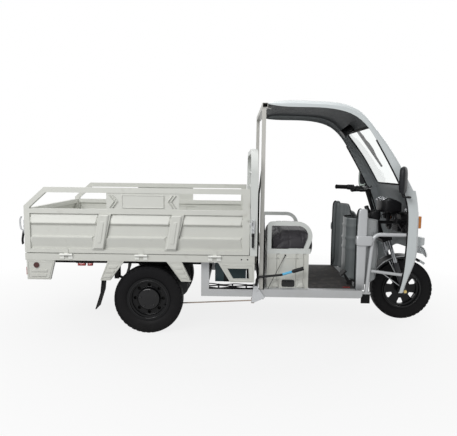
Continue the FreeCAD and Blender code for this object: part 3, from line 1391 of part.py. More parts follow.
node("canopy_shell", canopy_shell())
roof_share_ends = (0, 0.5)
screen_share_ends = (0.5, 1)


def canopy_lining():
    """Thin lining under the roof."""
    half = d.canopy_half_width * 0.74
    return sheet_along("canopy_lining_sheet", d.canopy_wall, d.canopy_wall + d.lining_wall, half,
                       roof_share_ends)


node("canopy_lining", canopy_lining())
glass_sheet = sheet_along("glass_sheet", d.side_clearance * 2, d.canopy_wall + d.side_clearance * 2,
                          d.screen_half_width, screen_share_ends)
seal_sheet = sheet_along("seal_sheet", -d.lining_wall, d.canopy_wall + d.lining_wall,
                         d.screen_half_width, screen_share_ends)
node("windscreen", both("windscreen_glass", glass_sheet, aperture("glass_edge", d.seal_width)))
seal_ring = less("seal_ring", aperture("seal_outside", sized(0)), aperture("seal_inside", d.seal_width))
node("windscreen_seal", both("windscreen_seal_ring", seal_sheet, seal_ring))


canopy_tail_z = d.screen_foot_z + (d.canopy_top_z - d.screen_foot_z) * canopy_outer_shares[0][1]
cab_top_bar_z = canopy_tail_z - d.canopy_wall - d.lining_wall - d.cab_bar_height


def cab_rear_frame():
    """Rear posts, the open-ended top tube, a lower tube and the canopy's brackets."""
    half = d.cab_post_width / 2
    bar_low = cab_top_bar_z
    post = box("cab_post", d.cab_post_x - half, d.cab_post_y - half, d.sill_top_z, d.cab_post_width,
               d.cab_post_width,
               bar_low - d.sill_top_z)
    bar_x = d.cab_post_x - half
    tube = box("cab_bar_block", bar_x, -d.sill_outer_y, bar_low, d.cab_bar_width, d.sill_outer_y * 2,
               d.cab_bar_height)
    wall = d.cab_bar_wall
    bore = box("cab_bar_bore", bar_x + wall, -d.sill_outer_y, bar_low + wall, d.cab_bar_width - wall * 2,
               d.sill_outer_y * 2, d.cab_bar_height - wall * 2)
    lower = box("cab_bar_low", bar_x, half - d.cab_post_y, d.cab_bar_low_z, d.cab_post_width,
                (d.cab_post_y - half) * 2,
                d.cab_post_width)
    bracket = box("canopy_bracket_block", bar_x + d.cab_bar_width, d.cab_post_y / 2, bar_low,
                  d.cab_bar_width,
                  d.cab_bar_width, d.cab_bar_height * 2)
    above = solid("canopy_above", canopy_solid(d.canopy_half_width, d.canopy_wall + d.lining_wall,
                                               sized(0)))
    trimmed = both("canopy_bracket", bracket, above)
    return [post, mirrored(post), less("cab_bar", tube, bore), lower, trimmed, mirrored(trimmed)]


node("cab_rear_frame", group("cab_rear_pieces", cab_rear_frame()))


# Front shield and lamps

shield_outer_shares = [(0.685, 1), (0.818, 0.926), (0.972, 0.767), (1, 0.552), (0.951, 0.333),
                       (0.685, 0.186), (0.357, 0)]
shield_inner_shares = [(0, 1), (0.28, 0.869), (0.371, 0.704), (0.357, 0.417), (0.259, 0.174), (0.063, 0)]
shield_station_shares = [(-1, -0.16), (-0.97, -0.02), (-0.88, 0.14), (-0.65, 0.46), (-0.35, 0.82), (0, 1),
                         (0.35, 0.82),
                         (0.65, 0.46), (0.88, 0.14), (0.97, -0.02), (1, -0.16)]
SHIELD_STEPS = 14


def shield_point(share):
    return FreeCAD.Vector(d.pillar_foot_x.value + (d.shield_front_x.value - d.pillar_foot_x.value) * share[0], 0,
                          d.shield_bottom_z.value + (d.screen_foot_z.value - d.shield_bottom_z.value) * share[1])


def sampled(curve, count):
    first, last = curve.FirstParameter, curve.LastParameter
    return [curve.value(first + (last - first) * number / count) for number in range(count + 1)]


def shield_solid(half, inset, behind):
    """The shield's filled form: bulged front that fades to flat at its top, open curve at its rear."""
    front = sampled(smooth([shield_point(share) for share in shield_outer_shares]), SHIELD_STEPS)
    back = sampled(smooth([shield_point(share) for share in shield_inner_shares]), SHIELD_STEPS)
    top, high = front[0].z, d.screen_foot_z.value - d.shield_bottom_z.value
    wires = []
    for across, bulge in shield_station_shares:
        points = []
        for item in front:
            fade = min(1, (top - item.z) / high * 3.2)
            out = d.shield_bulge.value * (bulge * fade) - inset.value
            points.append(FreeCAD.Vector(item.x + out, half.value * across, item.z))
        points += [FreeCAD.Vector(item.x - behind.value, half.value * across,
                                  item.z) for item in reversed(back)]
        wires.append(Part.makePolygon(points + points[:1]))
    return Part.makeLoft(wires, True, True)


nose_x = d.shield_front_x + d.shield_bulge
lamp_face_x = nose_x + d.lamp_bezel / 2
lamp_bore = d.lamp_lens_radius + d.lamp_bezel
beak_plan_shares = [(-0.5, 1), (0.5, 0.92), (0.86, 0.62), (1, 0), (0.86, -0.62), (0.5, -0.92), (-0.5, -1)]
beak_side_shares = [(-0.5, 0), (0.8, 0.10), (1, 0.36), (0.88, 0.70), (-0.5, 1)]


def beak():
    """The nose over the front fender."""
    half = d.beak_width / 2
    plan = [(nose_x + d.beak_reach * along, half * across) for along, across in beak_plan_shares]
    side = [(nose_x + d.beak_reach * along, d.beak_low_z + d.beak_height * up) for along,
            up in beak_side_shares]
    return both("beak_block", prism("beak_plan", "XY_Plane", [plan], d.beak_low_z, d.beak_height),
                side_plate("beak_side", [side], half, d.beak_width))


def signal_block(name, margin):
    """A turn signal's block on the shield's left face."""
    x = d.shield_front_x + d.signal_depth / 3
    return box(name, x - margin, d.signal_y - d.signal_width / 2 - margin,
               d.signal_z - d.signal_height / 2 - margin,
               d.signal_depth * 1.5 + margin * 2, d.signal_width + margin * 2, d.signal_height + margin * 2)


def front_shield():
    """Moulded shield with a wheel arch, a beak and openings for the lamps."""
    filled = shield_solid(d.canopy_half_width, sized(0), sized(0))
    cavity = shield_solid(d.canopy_half_width - d.shield_wall, d.shield_wall * 1.2, d.shield_bulge)
    skin = solid("shield_skin", filled.cut(cavity))
    nose = less("beak", beak(), solid("shield_filled", filled))
    moulding = joined("shield_moulding", [skin, nose])
    long = d.shield_bulge * 4
    block = box("arch_block", d.pillar_foot_x - d.shield_bulge, -d.arch_half_width,
                d.shield_bottom_z - d.cut_overrun,
                long, d.arch_half_width * 2, d.arch_top_z - d.shield_bottom_z + d.cut_overrun)
    doc.recompute()
    arch = rounded("wheel_arch", block, d.arch_corner, lambda edge: all(
        abs(corner.Z - d.arch_top_z.value) < 1e-6 for corner in edge.Vertexes)
        and abs(edge.Vertexes[0].X - edge.Vertexes[-1].X) > d.arch_corner.value)
    lamp = rod("lamp_opening", "X", d.pillar_foot_x, 0, d.lamp_lens_z, lamp_bore + d.seat_gap, long)
    signal = signal_block("signal_opening", d.seat_gap)
    return less("shield_open", moulding, group("shield_openings", [arch, lamp, signal, mirrored(signal)]))


node("front_shield", front_shield())


def headlamp():
    """Bezel ring, domed lens and the lamp's body behind them."""
    z = d.lamp_lens_z
    body_x = d.binnacle_rear_x + d.binnacle_length
    body = rod("lamp_body", "X", body_x, 0, z, d.lamp_lens_radius * 0.8,
               lamp_face_x - d.lamp_bezel * 3 - body_x)
    rim = ring("lamp_rim", "X", lamp_face_x - d.lamp_bezel * 3, 0, z, lamp_bore, d.lamp_lens_radius,
               d.lamp_bezel * 3)
    disc = rod("lamp_disc", "X", lamp_face_x - d.lamp_bezel * 3, 0, z, d.lamp_lens_radius, d.lamp_bezel * 2
               + d.lamp_lens_crown)
    doc.recompute()
    tip = (lamp_face_x - d.lamp_bezel + d.lamp_lens_crown).value
    lens = rounded("lamp_lens", disc, d.lamp_lens_crown, lambda edge: len(edge.Vertexes) == 1
                   and abs(edge.Vertexes[0].X - tip) < 1e-3)
    return group("headlamp_pieces", [body, rim, lens])


node("headlamp", headlamp())


def turn_signal():
    block = signal_block("signal_lens_block", d.side_clearance * 0)
    doc.recompute()
    front = block.Shape.BoundBox.XMax
    return rounded("signal_lens", block, d.cheek_wall * 2, lambda edge: all(
        abs(corner.X - front) < 1e-3 for corner in edge.Vertexes))


node("turn_signals", pair("turn_signal_pair", turn_signal()))


# Leg shield, front posts, guards and mirrors

legs_plan_shares = [(1, 0), (0.91, 0.48), (0.75, 0.89), (0.57, 1), (0.34, 0.89), (0.27, 0.64),
                    (0.16, -0.18), (0.12, -0.26)]


def leg_shield():
    """Thin panel before the rider's knees, hollowed for the legs, with a middle tunnel and a notched top."""
    rear = [(d.legs_edge_x + d.legs_hollow * deep, d.legs_half_width * across) for across,
            deep in legs_plan_shares]
    rear += [(x, -y) for x, y in reversed(rear)]
    front = [(x + d.legs_wall, y) for x, y in reversed(rear)]
    panel = prism("legs_panel", "XY_Plane", [rear + front], pan_top_z, d.legs_top_z - pan_top_z)
    high = d.legs_top_z + d.cut_overrun
    wide, narrow = d.legs_half_width * 0.68, d.legs_half_width * 0.45
    notch = [(-wide, high), (-narrow, d.legs_notch_z), (narrow, d.legs_notch_z), (wide, high)]
    cut = prism("legs_notch", "YZ_Plane", [notch], d.legs_edge_x - d.tunnel_bulge, d.tunnel_bulge * 3)
    return less("legs_notched", panel, cut)


node("leg_shield", leg_shield())


def front_post_side():
    """One side's flat post with its clamp band, and the bent guard tube with its cross tube."""
    inner = d.guard_y - d.post_strip_depth / 2
    post = box("front_post", d.post_strip_x, inner, pan_top_z, d.post_strip_width, d.post_strip_depth,
               d.post_strip_top_z - pan_top_z)
    band = box("front_post_band", d.post_strip_x - d.band_depth, inner - d.legs_wall / 2, d.band_low_z,
               d.post_strip_width + d.band_depth, d.post_strip_depth + d.legs_wall, d.band_height)
    foot_z = d.sill_top_z - d.guard_radius
    end_x = d.guard_front_x + d.guard_radius
    guard = bent_tube("guard_tube", [(d.guard_foot_x, d.guard_y, foot_z - d.cut_overrun),
                                     (d.guard_foot_x + d.guard_lean, d.guard_y, d.guard_top_z),
                                     (end_x, d.guard_y, d.guard_top_z)], d.guard_bend, d.guard_radius)
    rung_x = d.guard_foot_x + d.guard_lean * 0.4 + d.guard_radius
    rung = bar_between("guard_rung", (rung_x, d.guard_y, d.guard_mid_z),
                       (d.guard_front_x, d.guard_y, d.guard_mid_z - d.guard_mid_drop), d.guard_radius * 0.8)
    level = box("guard_level_cut", d.guard_foot_x - d.guard_radius * 2, d.guard_y - d.guard_radius * 2,
                foot_z - d.guard_radius * 2, d.guard_radius * 4, d.guard_radius * 4, d.guard_radius * 2)
    welded = less("guard_levelled", joined("guard_welded", [guard, rung]), level)
    return group("front_side", [joined("front_post_banded", [post, band]), welded])


node("cab_front_frame", pair("front_frame_pair", front_post_side()))
mirror_foot_x = d.pillar_foot_x + d.mirror_depth


def mirror_arm():
    """Bent arm from the shield's side to under the mirror."""
    return bent_tube("mirror_arm", [(mirror_foot_x, d.canopy_half_width, d.mirror_arm_z),
                                    (mirror_foot_x, d.mirror_y, d.mirror_arm_z),
                                    (d.mirror_x, d.mirror_y, d.mirror_arm_z + d.side_clearance),
                                    (d.mirror_x, d.mirror_y, d.mirror_low_z - d.side_clearance)],
                     d.mirror_neck, d.mirror_arm_radius)


node("mirror_arms", pair("mirror_arm_pair", mirror_arm()))


def mirror_head():
    block = box("mirror_block", d.mirror_x - d.mirror_depth / 2, d.mirror_y - d.mirror_width / 2,
                d.mirror_low_z,
                d.mirror_depth, d.mirror_width, d.mirror_height)
    doc.recompute()
    return rounded("mirror_head", block, d.mirror_neck, lambda edge: abs(
        edge.Vertexes[0].X - edge.Vertexes[-1].X) > d.mirror_neck.value)


left_mirror = node("mirror_left", mirror_head())
node("mirror_right", mirrored(left_mirror))


def instrument_binnacle():
    """Sloped instrument housing on the cowl post."""
    rear, front = d.binnacle_rear_x, d.binnacle_rear_x + d.binnacle_length
    low, high = d.binnacle_low_z, d.binnacle_low_z + d.binnacle_height
    outline = [(rear, low), (front, low), (front, low + d.binnacle_front_height),
               (rear + d.binnacle_length / 3, high),
               (rear, high - d.binnacle_edge)]
    return side_plate("binnacle", [outline], d.binnacle_half_width, d.binnacle_half_width * 2)


node("instrument_binnacle", instrument_binnacle())


# Fork, handlebar and fender

def raked_box(name, depth, width, height, ahead, across, up):
    block = doc.addObject("Part::Box", name)
    for prop, size in (("Length", depth), ("Width", width), ("Height", height)):
        bind(block, prop, size)
    return raked(block, ahead, across, up)


def fork_crown():
    """Crown with its stanchions, the steerer through the head tube, its nut and the stem."""
    crown_top = d.crown_low + d.crown_height
    crown = raked_box("crown_block", d.crown_depth, d.crown_width, d.crown_height,
                      -d.steer_offset - d.lower_leg_radius,
                      -d.crown_width / 2, d.crown_low)
    legs = [raked(upright("stanchion%d" % number, d.stanchion_radius, crown_top - d.stanchion_foot), 0,
                  d.leg_spread * side, d.stanchion_foot) for number, side in enumerate((-1, 1))]
    steerer = raked(upright("steerer", d.steerer_radius, d.stem_top - d.crown_low), -d.steer_offset, 0,
                    d.crown_low)
    nut_foot = d.head_high + d.side_clearance
    nut = raked(upright("head_nut", d.top_nut_radius, d.top_nut_height), -d.steer_offset, 0, nut_foot)
    stem_foot = nut_foot + d.top_nut_height
    stem = raked(upright("stem", d.stem_radius, d.stem_top - stem_foot), -d.steer_offset, 0, stem_foot)
    return joined("fork_upper", [crown, steerer, nut, stem] + legs)


node("fork_crown", fork_crown())
bar_x, bar_z = steer_point(d.bar_height)


def grip_end(side):
    return (bar_x - d.grip_end_x, d.grip_end_y * side, bar_z)


def bar_elbow(side):
    return (bar_x - d.bar_elbow_x, d.bar_elbow_y * side, bar_z)


def handlebar():
    """Swept-back bar in a clamp on the stem."""
    middle = [(bar_x, d.bar_centre_half * side, bar_z) for side in (1, -1)]
    bar = bent_tube("bar_tube", [grip_end(1), bar_elbow(1)] + middle + [bar_elbow(-1), grip_end(-1)],
                    d.bar_bend,
                    d.bar_radius)
    clamp = raked_box("bar_clamp", d.bar_clamp_depth, d.bar_clamp_width, d.bar_clamp_height,
                      -d.steer_offset - d.bar_clamp_depth / 2, -d.bar_clamp_width / 2, d.stem_top)
    return joined("bar_with_clamp", [bar, clamp])


node("handlebar", handlebar())


def sleeve(name, side, start, length, radius):
    """A sleeve on the bar, from its end inwards."""
    end, elbow = spot(*grip_end(side)), spot(*bar_elbow(side))
    heading = (elbow - end).normalize()
    foot = end + heading * start.value
    outer = Part.makeCylinder(radius.value, length.value, foot, heading)
    bore = Part.makeCylinder((d.bar_radius + d.running_clearance).value, length.value, foot, heading)
    return solid(name, outer.cut(bore))


node("grip_left", sleeve("left_grip", 1, sized(0), d.grip_length, d.grip_radius))
node("throttle_grip", sleeve("right_grip", -1, sized(0), d.grip_length, d.grip_radius))
pod_start = d.grip_length + d.side_clearance
node("switch_pods", group("pod_pair", [sleeve("pod%d" % number, side, pod_start, d.pod_length, d.pod_radius)
                                       for number, side in enumerate((1, -1))]))


def fork_lowers():
    """Lower legs bored for the stanchions and cross-drilled for the axle."""
    legs = []
    for number, side in enumerate((-1, 1)):
        y = d.leg_spread * side
        leg = raked(upright("lower_leg%d" % number, d.lower_leg_radius, d.lower_leg_top + d.lower_leg_foot),
                    0, y,
                    -d.lower_leg_foot)
        bore = raked(upright("lower_bore%d" % number, d.stanchion_radius + d.running_clearance,
                             d.lower_leg_top
                             - d.bore_foot + d.cut_overrun), 0, y, d.bore_foot)
        hole = rod("axle_hole%d" % number, "Y", d.front_axle_x, y - d.lower_leg_radius * 2,
                   d.front_tyre_radius,
                   d.front_axle_radius + d.running_clearance, d.lower_leg_radius * 4)
        legs.append(less("lower_leg_bored%d" % number, leg, group("lower_cuts%d" % number, [bore, hole])))
    return legs


lower_legs = fork_lowers()
node("fork_lowers", group("fork_lower_pair", lower_legs))
hex_shares = [(math.cos(math.pi * turn / 3), math.sin(math.pi * turn / 3)) for turn in range(6)]


def front_axle():
    """Axle bolt with a hex nut outside each fork leg."""
    face = d.leg_spread + d.lower_leg_radius + d.seat_gap
    half = face + d.axle_nut_height + d.cut_overrun
    bolt = rod("front_axle_bolt", "Y", d.front_axle_x, -half, d.front_tyre_radius, d.front_axle_radius,
               half * 2)
    corners = [(d.front_axle_x + d.axle_nut_radius * across, d.front_tyre_radius + d.axle_nut_radius * up)
               for across, up in hex_shares]
    nut = side_plate("axle_nut", [corners], face + d.axle_nut_height, d.axle_nut_height)
    return joined("front_axle_with_nuts", [bolt, nut, mirrored(nut)])


node("front_axle", front_axle())
fender_stay_shares = (0.03, 0.30)


def fender_spot(share, radius, y):
    """A point round the fender: share of its span from its rear end."""
    angle = math.radians(d.fender_span.value * (share - 0.5) - d.fender_tilt.value)
    return (d.front_axle_x + radius * math.sin(angle), y, d.front_tyre_radius + radius * math.cos(angle))


def front_fender():
    """Channel fender swept round the wheel, with stays and brackets to the lower legs."""
    half, top = d.fender_width / 2, d.fender_radius + d.fender_wall
    foot = top - d.fender_skirt
    profile = [(half, foot), (half, top), (-half, top), (-half, foot), (d.fender_wall - half, foot),
               (d.fender_wall - half, d.fender_radius), (half - d.fender_wall, d.fender_radius),
               (half - d.fender_wall, foot)]
    points = [spot(0, y, up) for y, up in profile]
    face = Part.Face(Part.makePolygon(points + points[:1]))
    axle = spot(d.front_axle_x, 0, d.front_tyre_radius)
    start = -(d.fender_span.value / 2 + d.fender_tilt.value)
    face.rotate(FreeCAD.Vector(), FreeCAD.Vector(0, 1, 0), start)
    channel = face.revolve(FreeCAD.Vector(), FreeCAD.Vector(0, 1, 0), d.fender_span.value)
    channel.translate(axle)
    bracket = raked_box("fender_bracket_block", d.lower_leg_radius * 2, d.fender_wall * 2,
                        foot + d.fender_skirt / 2 - d.bore_foot * 2, -d.lower_leg_radius, half,
                        d.bore_foot * 2)
    stays = [bar_between("fender_stay%d" % number,
                         (d.front_axle_x, half + d.stay_radius, d.front_tyre_radius + d.axle_nut_radius),
                         fender_spot(share, foot + d.fender_skirt / 2, half + d.stay_radius), d.stay_radius)
             for number, share in enumerate(fender_stay_shares)]
    side = less("fender_side", group("fender_side_blank", [bracket] + stays), lower_legs[1])
    return group("fender_pieces", [solid("fender_channel", channel), side, mirrored(side)])


node("front_fender", front_fender())


# Wiper

pivot_share = 0.565
SCREEN_SLOPE = 53.2


def slanted(feature, along, across, up):
    """Stand a feature on the windscreen: down along it from the pivot, across, and off the glass."""
    slope = math.radians(SCREEN_SLOPE)
    first, last = canopy_curve.FirstParameter, canopy_curve.LastParameter
    pivot = canopy_curve.value(first + (last - first) * pivot_share)
    feature.Placement = FreeCAD.Placement(FreeCAD.Vector(), FreeCAD.Rotation(FreeCAD.Vector(0, 1, 0),
                                                                             SCREEN_SLOPE))
    along, up = sized(along), sized(up)
    bind(feature, "Placement.Base.x", sized(pivot.x) + along * math.cos(slope) + up * math.sin(slope))
    bind(feature, "Placement.Base.y", across)
    bind(feature, "Placement.Base.z", sized(pivot.z) - along * math.sin(slope) + up * math.cos(slope))
    return feature


def slanted_box(name, length, width, height, along, across, up):
    block = doc.addObject("Part::Box", name)
    for prop, size in (("Length", length), ("Width", width), ("Height", height)):
        bind(block, prop, size)
    return slanted(block, along, across, up)


def wiper():
    """Boss, arm and blade over the windscreen."""
    boss = slanted(upright("wiper_boss", d.wiper_boss_radius, d.wiper_boss_height), 0, d.wiper_y,
                   d.wiper_standoff / 7)
    arm = slanted_box("wiper_arm", d.wiper_arm_length, d.wiper_arm_width, d.wiper_arm_wall, 0,
                      d.wiper_y - d.wiper_arm_width / 2, d.wiper_standoff + d.wiper_arm_wall)
    blade = slanted_box("wiper_blade", d.wiper_blade_length, d.wiper_blade_width, d.wiper_blade_height,
                        d.wiper_arm_length - d.wiper_blade_length / 2, d.wiper_y - d.wiper_blade_width / 2,
                        d.wiper_standoff)
    return joined("wiper_whole", [boss, arm, blade])


node("wiper", wiper())
wiper_motor_body = slanted(upright("wiper_motor_drum", d.wiper_motor_radius, d.wiper_motor_length), 0,
                           d.wiper_y,
                           -d.wiper_motor_length - d.canopy_wall - d.lining_wall)
node("wiper_motor", less("wiper_motor_fitted", wiper_motor_body, NODES["canopy_shell"]))


# Parking brake, foot brake and cables

grip_share = 0.52
crank_tilt = math.radians(d.lever_throw.value / 2)
crank_pin_x = d.lever_pivot_x - d.crank_drop * math.sin(crank_tilt)
crank_pin_z = d.lever_pivot_z - d.crank_drop * math.cos(crank_tilt)


def parking_lever():
    """Bent hand lever with a grip, its crank and the crank's pin, on one pivot outside the sill."""
    y = -d.lever_y
    route = [(d.lever_pivot_x, y, d.lever_pivot_z)]
    for along, up in ((d.lever_heel_x, d.lever_heel_z), (d.lever_elbow_x, d.lever_elbow_z),
                      (d.lever_grip_x, d.lever_grip_z)):
        route.append((d.lever_pivot_x + along, y, d.lever_pivot_z + up))
    shaft = bent_tube("lever_shaft", route, d.lever_bend, d.lever_radius)
    start = [sized(low) + (sized(high) - low) * grip_share for low, high in zip(route[-2], route[-1])]
    grip = bar_between("lever_grip", start, route[-1], d.lever_grip_radius)
    half = d.crank_width / 2
    boss = rod("lever_boss", "Y", d.lever_pivot_x, -d.lever_y - d.lever_radius - d.side_clearance,
               d.lever_pivot_z, half,
               (d.lever_radius + d.side_clearance) * 2)
    plate = side_plate("crank_plate", [[
        (d.lever_pivot_x - half, d.lever_pivot_z), (crank_pin_x - d.rod_eye_radius,
                                                    crank_pin_z - d.rod_eye_radius),
        (crank_pin_x + d.rod_eye_radius, crank_pin_z - d.rod_eye_radius),
        (d.lever_pivot_x + d.crank_horn_x, d.lever_pivot_z - d.crank_horn_z),
        (d.lever_pivot_x + half, d.lever_pivot_z)]],
        d.crank_wall - d.lever_y, d.crank_wall)
    pin = rod("crank_pin", "Y", crank_pin_x, -d.lever_y, crank_pin_z, d.crank_pin_radius, d.crank_pin_length
              + d.crank_wall)
    whole = joined("lever_whole", [shaft, grip, boss, plate, pin])
    bore = rod("lever_bore", "Y", d.lever_pivot_x, -d.lever_y - d.crank_width, d.lever_pivot_z,
               d.crank_pin_radius + d.running_clearance, d.crank_width * 2)
    return less("lever_bored", whole, bore)


node("parking_lever", parking_lever())


def brake_rod():
    """Pull rod from a slotted eye on the crank pin back to the brake arm."""
    slack = d.rod_eye_radius * 1.25
    bore = d.crank_pin_radius + d.running_clearance * 6
    wide = bore + d.cheek_wall
    tall = bore + slack
    loops = [[(crank_pin_x - wide, crank_pin_z - tall), (crank_pin_x + wide, crank_pin_z - tall),
              (crank_pin_x + wide, crank_pin_z + tall), (crank_pin_x - wide, crank_pin_z + tall)],
             [(crank_pin_x - bore, crank_pin_z - slack), (crank_pin_x + bore, crank_pin_z - slack),
              (crank_pin_x + bore, crank_pin_z + slack), (crank_pin_x - bore, crank_pin_z + slack)]]
    eye_y = -d.rod_front_y + d.rod_eye_wall / 2
    eye = side_plate("rod_front_eye", loops, eye_y, d.rod_eye_wall)
    arm_z = d.rear_tyre_radius - d.brake_arm_length + d.rod_eye_radius
    arm_x = rear_axle_x + d.brake_arm_width / 2
    rear_y = -d.rod_rear_y + d.rod_eye_wall + d.seat_gap
    tail = rod("rod_rear_eye", "Y", arm_x, rear_y - d.rod_eye_wall, arm_z, d.rod_eye_radius, d.rod_eye_wall)
    bar = bar_between("rod_bar", (crank_pin_x - wide + d.cheek_wall / 2, -d.rod_front_y, crank_pin_z),
                      (arm_x, rear_y, arm_z), d.rod_radius)
    return group("rod_pieces", [eye, tail, less("rod_bar_to_tail", less("rod_bar_to_eye", bar, eye), tail)])


node("brake_rod", brake_rod())
pedal_z = pan_top_z + d.mat_wall + d.pedal_pivot_height


def brake_pedal():
    """Pedal arm on a cross pin, with a ribbed pad."""
    half = d.pedal_arm_width / 2
    outline = [(d.pedal_x - half * 2, pedal_z - half * 2), (d.pedal_x + half * 2, pedal_z - half * 2),
               (d.pedal_x + half * 2, pedal_z), (d.pedal_x - d.pedal_arm_x + half, pedal_z + d.pedal_arm_z),
               (d.pedal_x - d.pedal_arm_x - half, pedal_z + d.pedal_arm_z)]
    y = -d.pedal_y
    arm = side_plate("pedal_arm", [outline], y + d.pedal_arm_wall / 2, d.pedal_arm_wall)
    pin_half = d.pedal_arm_wall / 2 + d.pedal_gap + d.pedal_bracket_wall
    pin = rod("pedal_pin", "Y", d.pedal_x, y - pin_half, pedal_z, d.pedal_pin_radius, pin_half * 2)
    lean = d.pedal_pad_length / 3
    top = pedal_z + d.pedal_arm_z
    pad = [(d.pedal_x - d.pedal_arm_x - lean, top - lean), (d.pedal_x - d.pedal_arm_x + lean, top + lean),
           (d.pedal_x - d.pedal_arm_x + lean - d.pedal_pad_wall, top + lean + d.pedal_pad_wall / 2),
           (d.pedal_x - d.pedal_arm_x - lean - d.pedal_pad_wall, top - lean + d.pedal_pad_wall / 2)]
    foot = side_plate("pedal_pad", [pad], y + d.pedal_pad_width / 2, d.pedal_pad_width)
    return joined("pedal_whole", [arm, pin, foot])


node("brake_pedal", brake_pedal())


def pedal_bracket():
    """Cheeks that carry the pedal's pin, standing on the mat."""
    low = pan_top_z + d.mat_wall
    half = d.pedal_bracket_length / 4
    cheeks = []
    for number, side in enumerate((-1, 1)):
        gap = d.pedal_arm_wall / 2 + d.pedal_gap
        y = gap - d.pedal_y if side > 0 else -d.pedal_y - gap - d.pedal_bracket_wall
        block = box("pedal_cheek_block%d" % number, d.pedal_x - half, y, low, half * 2,
                    d.pedal_bracket_wall,
                    d.pedal_bracket_height)
        hole = rod("pedal_cheek_hole%d" % number, "Y", d.pedal_x, y - d.cut_overrun, pedal_z,
                   d.pedal_pin_radius + d.running_clearance, d.pedal_bracket_wall + d.cut_overrun * 2)
        cheeks.append(less("pedal_cheek%d" % number, block, hole))
    return cheeks


floor_sheet_pan = NODES.pop("floor_pan")
node("floor_pan", group("floor_pan_pieces", [floor_sheet_pan] + pedal_bracket()))


def held_cables():
    """Two hoses up the inside of the right cab post, from the sill and the floor pan into the top tube."""
    y = d.hose_gap - d.cab_post_y + d.cab_post_width / 2
    top = cab_top_bar_z - d.seat_gap
    routes = ((d.hose_rear_x, d.hose_rear_bend_z, d.sill_top_z, -1),
              (d.hose_front_x, d.hose_front_bend_z, pan_top_z, 1))
    hoses = []
    for number, (x, bend_z, foot, side) in enumerate(routes):
        upper_x = d.cab_post_x + (d.cable_radius + d.side_clearance) * side
        hoses.append(bent_tube("hose%d" % number, [(x, y, foot), (x, y, bend_z), (upper_x, y,
                                                                                  bend_z + d.hose_shift),
                                                   (upper_x, y, top)], d.hose_bend,
                                                   d.cable_radius - d.seat_gap))
    return hoses


node("held_cables", group("hose_pair", held_cables()))


# Check and write
doc.recompute()
for feature in doc.Objects:
    if "Invalid" in feature.State or "Error" in feature.State:
        raise RuntimeError("%s (%s) failed: %s" % (feature.Name, feature.Label, feature.State))
for name, feature in NODES.items():
    if feature.Shape.isNull() or not feature.Shape.isValid() or not feature.Shape.Solids:
        raise RuntimeError("%s has no valid solid" % name)
os.makedirs("parts", exist_ok=True)
for name, feature in NODES.items():
    feature.Shape.exportStep("parts/%s.step" % name)
print(len(NODES), "nodes")
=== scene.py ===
"""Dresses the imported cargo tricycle: materials, seat cushion, trim, lamps, fasteners, stage and camera."""
import bmesh
import bpy
import math
from mathutils import Matrix, Vector


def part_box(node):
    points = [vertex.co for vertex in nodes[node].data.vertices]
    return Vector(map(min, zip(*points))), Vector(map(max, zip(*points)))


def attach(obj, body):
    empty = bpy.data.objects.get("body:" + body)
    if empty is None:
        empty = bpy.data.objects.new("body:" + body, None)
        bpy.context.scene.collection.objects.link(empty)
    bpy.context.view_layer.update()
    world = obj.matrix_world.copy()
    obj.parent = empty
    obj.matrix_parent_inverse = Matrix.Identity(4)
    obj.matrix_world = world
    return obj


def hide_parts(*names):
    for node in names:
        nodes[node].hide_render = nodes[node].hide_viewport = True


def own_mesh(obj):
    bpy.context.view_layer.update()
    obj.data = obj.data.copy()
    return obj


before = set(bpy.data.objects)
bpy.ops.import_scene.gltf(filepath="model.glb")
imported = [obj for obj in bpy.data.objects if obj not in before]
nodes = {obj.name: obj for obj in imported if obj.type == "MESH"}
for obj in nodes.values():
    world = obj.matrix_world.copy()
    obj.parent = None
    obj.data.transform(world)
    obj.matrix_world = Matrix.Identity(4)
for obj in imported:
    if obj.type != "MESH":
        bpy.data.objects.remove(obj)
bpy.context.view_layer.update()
scene = bpy.context.scene
scene.view_settings.view_transform = "Standard"
SIDES = ((1, "left"), (-1, "right"))

# Camera at the photograph's viewing angle, for an image of 457 by 436
IMAGE_WIDTH = 457
FOCAL_PIXELS = 448.8
CAMERA_PLACE = (-0.0466, -3.9605, 1.3112)
CAMERA_RIGHT = Vector((0.9998, 0.0159, 0.0115)).normalized()
CAMERA_AHEAD = Vector((-0.0146, 0.994, -0.1085)).normalized()
camera_data = bpy.data.cameras.new("view_camera")
camera_data.sensor_fit = "HORIZONTAL"
camera_data.sensor_width = 36
camera_data.lens = FOCAL_PIXELS / IMAGE_WIDTH * camera_data.sensor_width
camera_data.clip_end = 200
camera = bpy.data.objects.new("view_camera", camera_data)
scene.collection.objects.link(camera)
camera_up = CAMERA_RIGHT.cross(CAMERA_AHEAD)
camera_turn = Matrix((CAMERA_RIGHT, camera_up, -CAMERA_AHEAD)).transposed()
camera.matrix_world = Matrix.Translation(CAMERA_PLACE) @ camera_turn.to_4x4()
scene.camera = camera


# Materials

def add_node(tree, kind, inputs=None, **settings):
    """A new node with its settings, and inputs that hold a value or come from another node's output."""
    node = tree.nodes.new(kind)
    for name, value in settings.items():
        setattr(node, name, value)
    for socket, value in (inputs or {}).items():
        if isinstance(value, bpy.types.NodeSocket):
            tree.links.new(value, node.inputs[socket])
        else:
            node.inputs[socket].default_value = value
    return node


def tone(red, green, blue):
    """A colour given in display steps of 0 to 255, as the linear colour of a shader."""
    steps = [step / 255 for step in (red, green, blue)]
    return [step / 12.92 if step <= 0.04045 else ((step + 0.055) / 1.055) ** 2.4 for step in steps] + [1.0]


def shade(colour, factor):
    return [min(1.0, part * factor) for part in colour[:3]] + [1.0]


GRAIN_DEPTH = 0.0006
COAT_ROUGHNESS = 0.12
LEAST_ROUGHNESS = 0.02


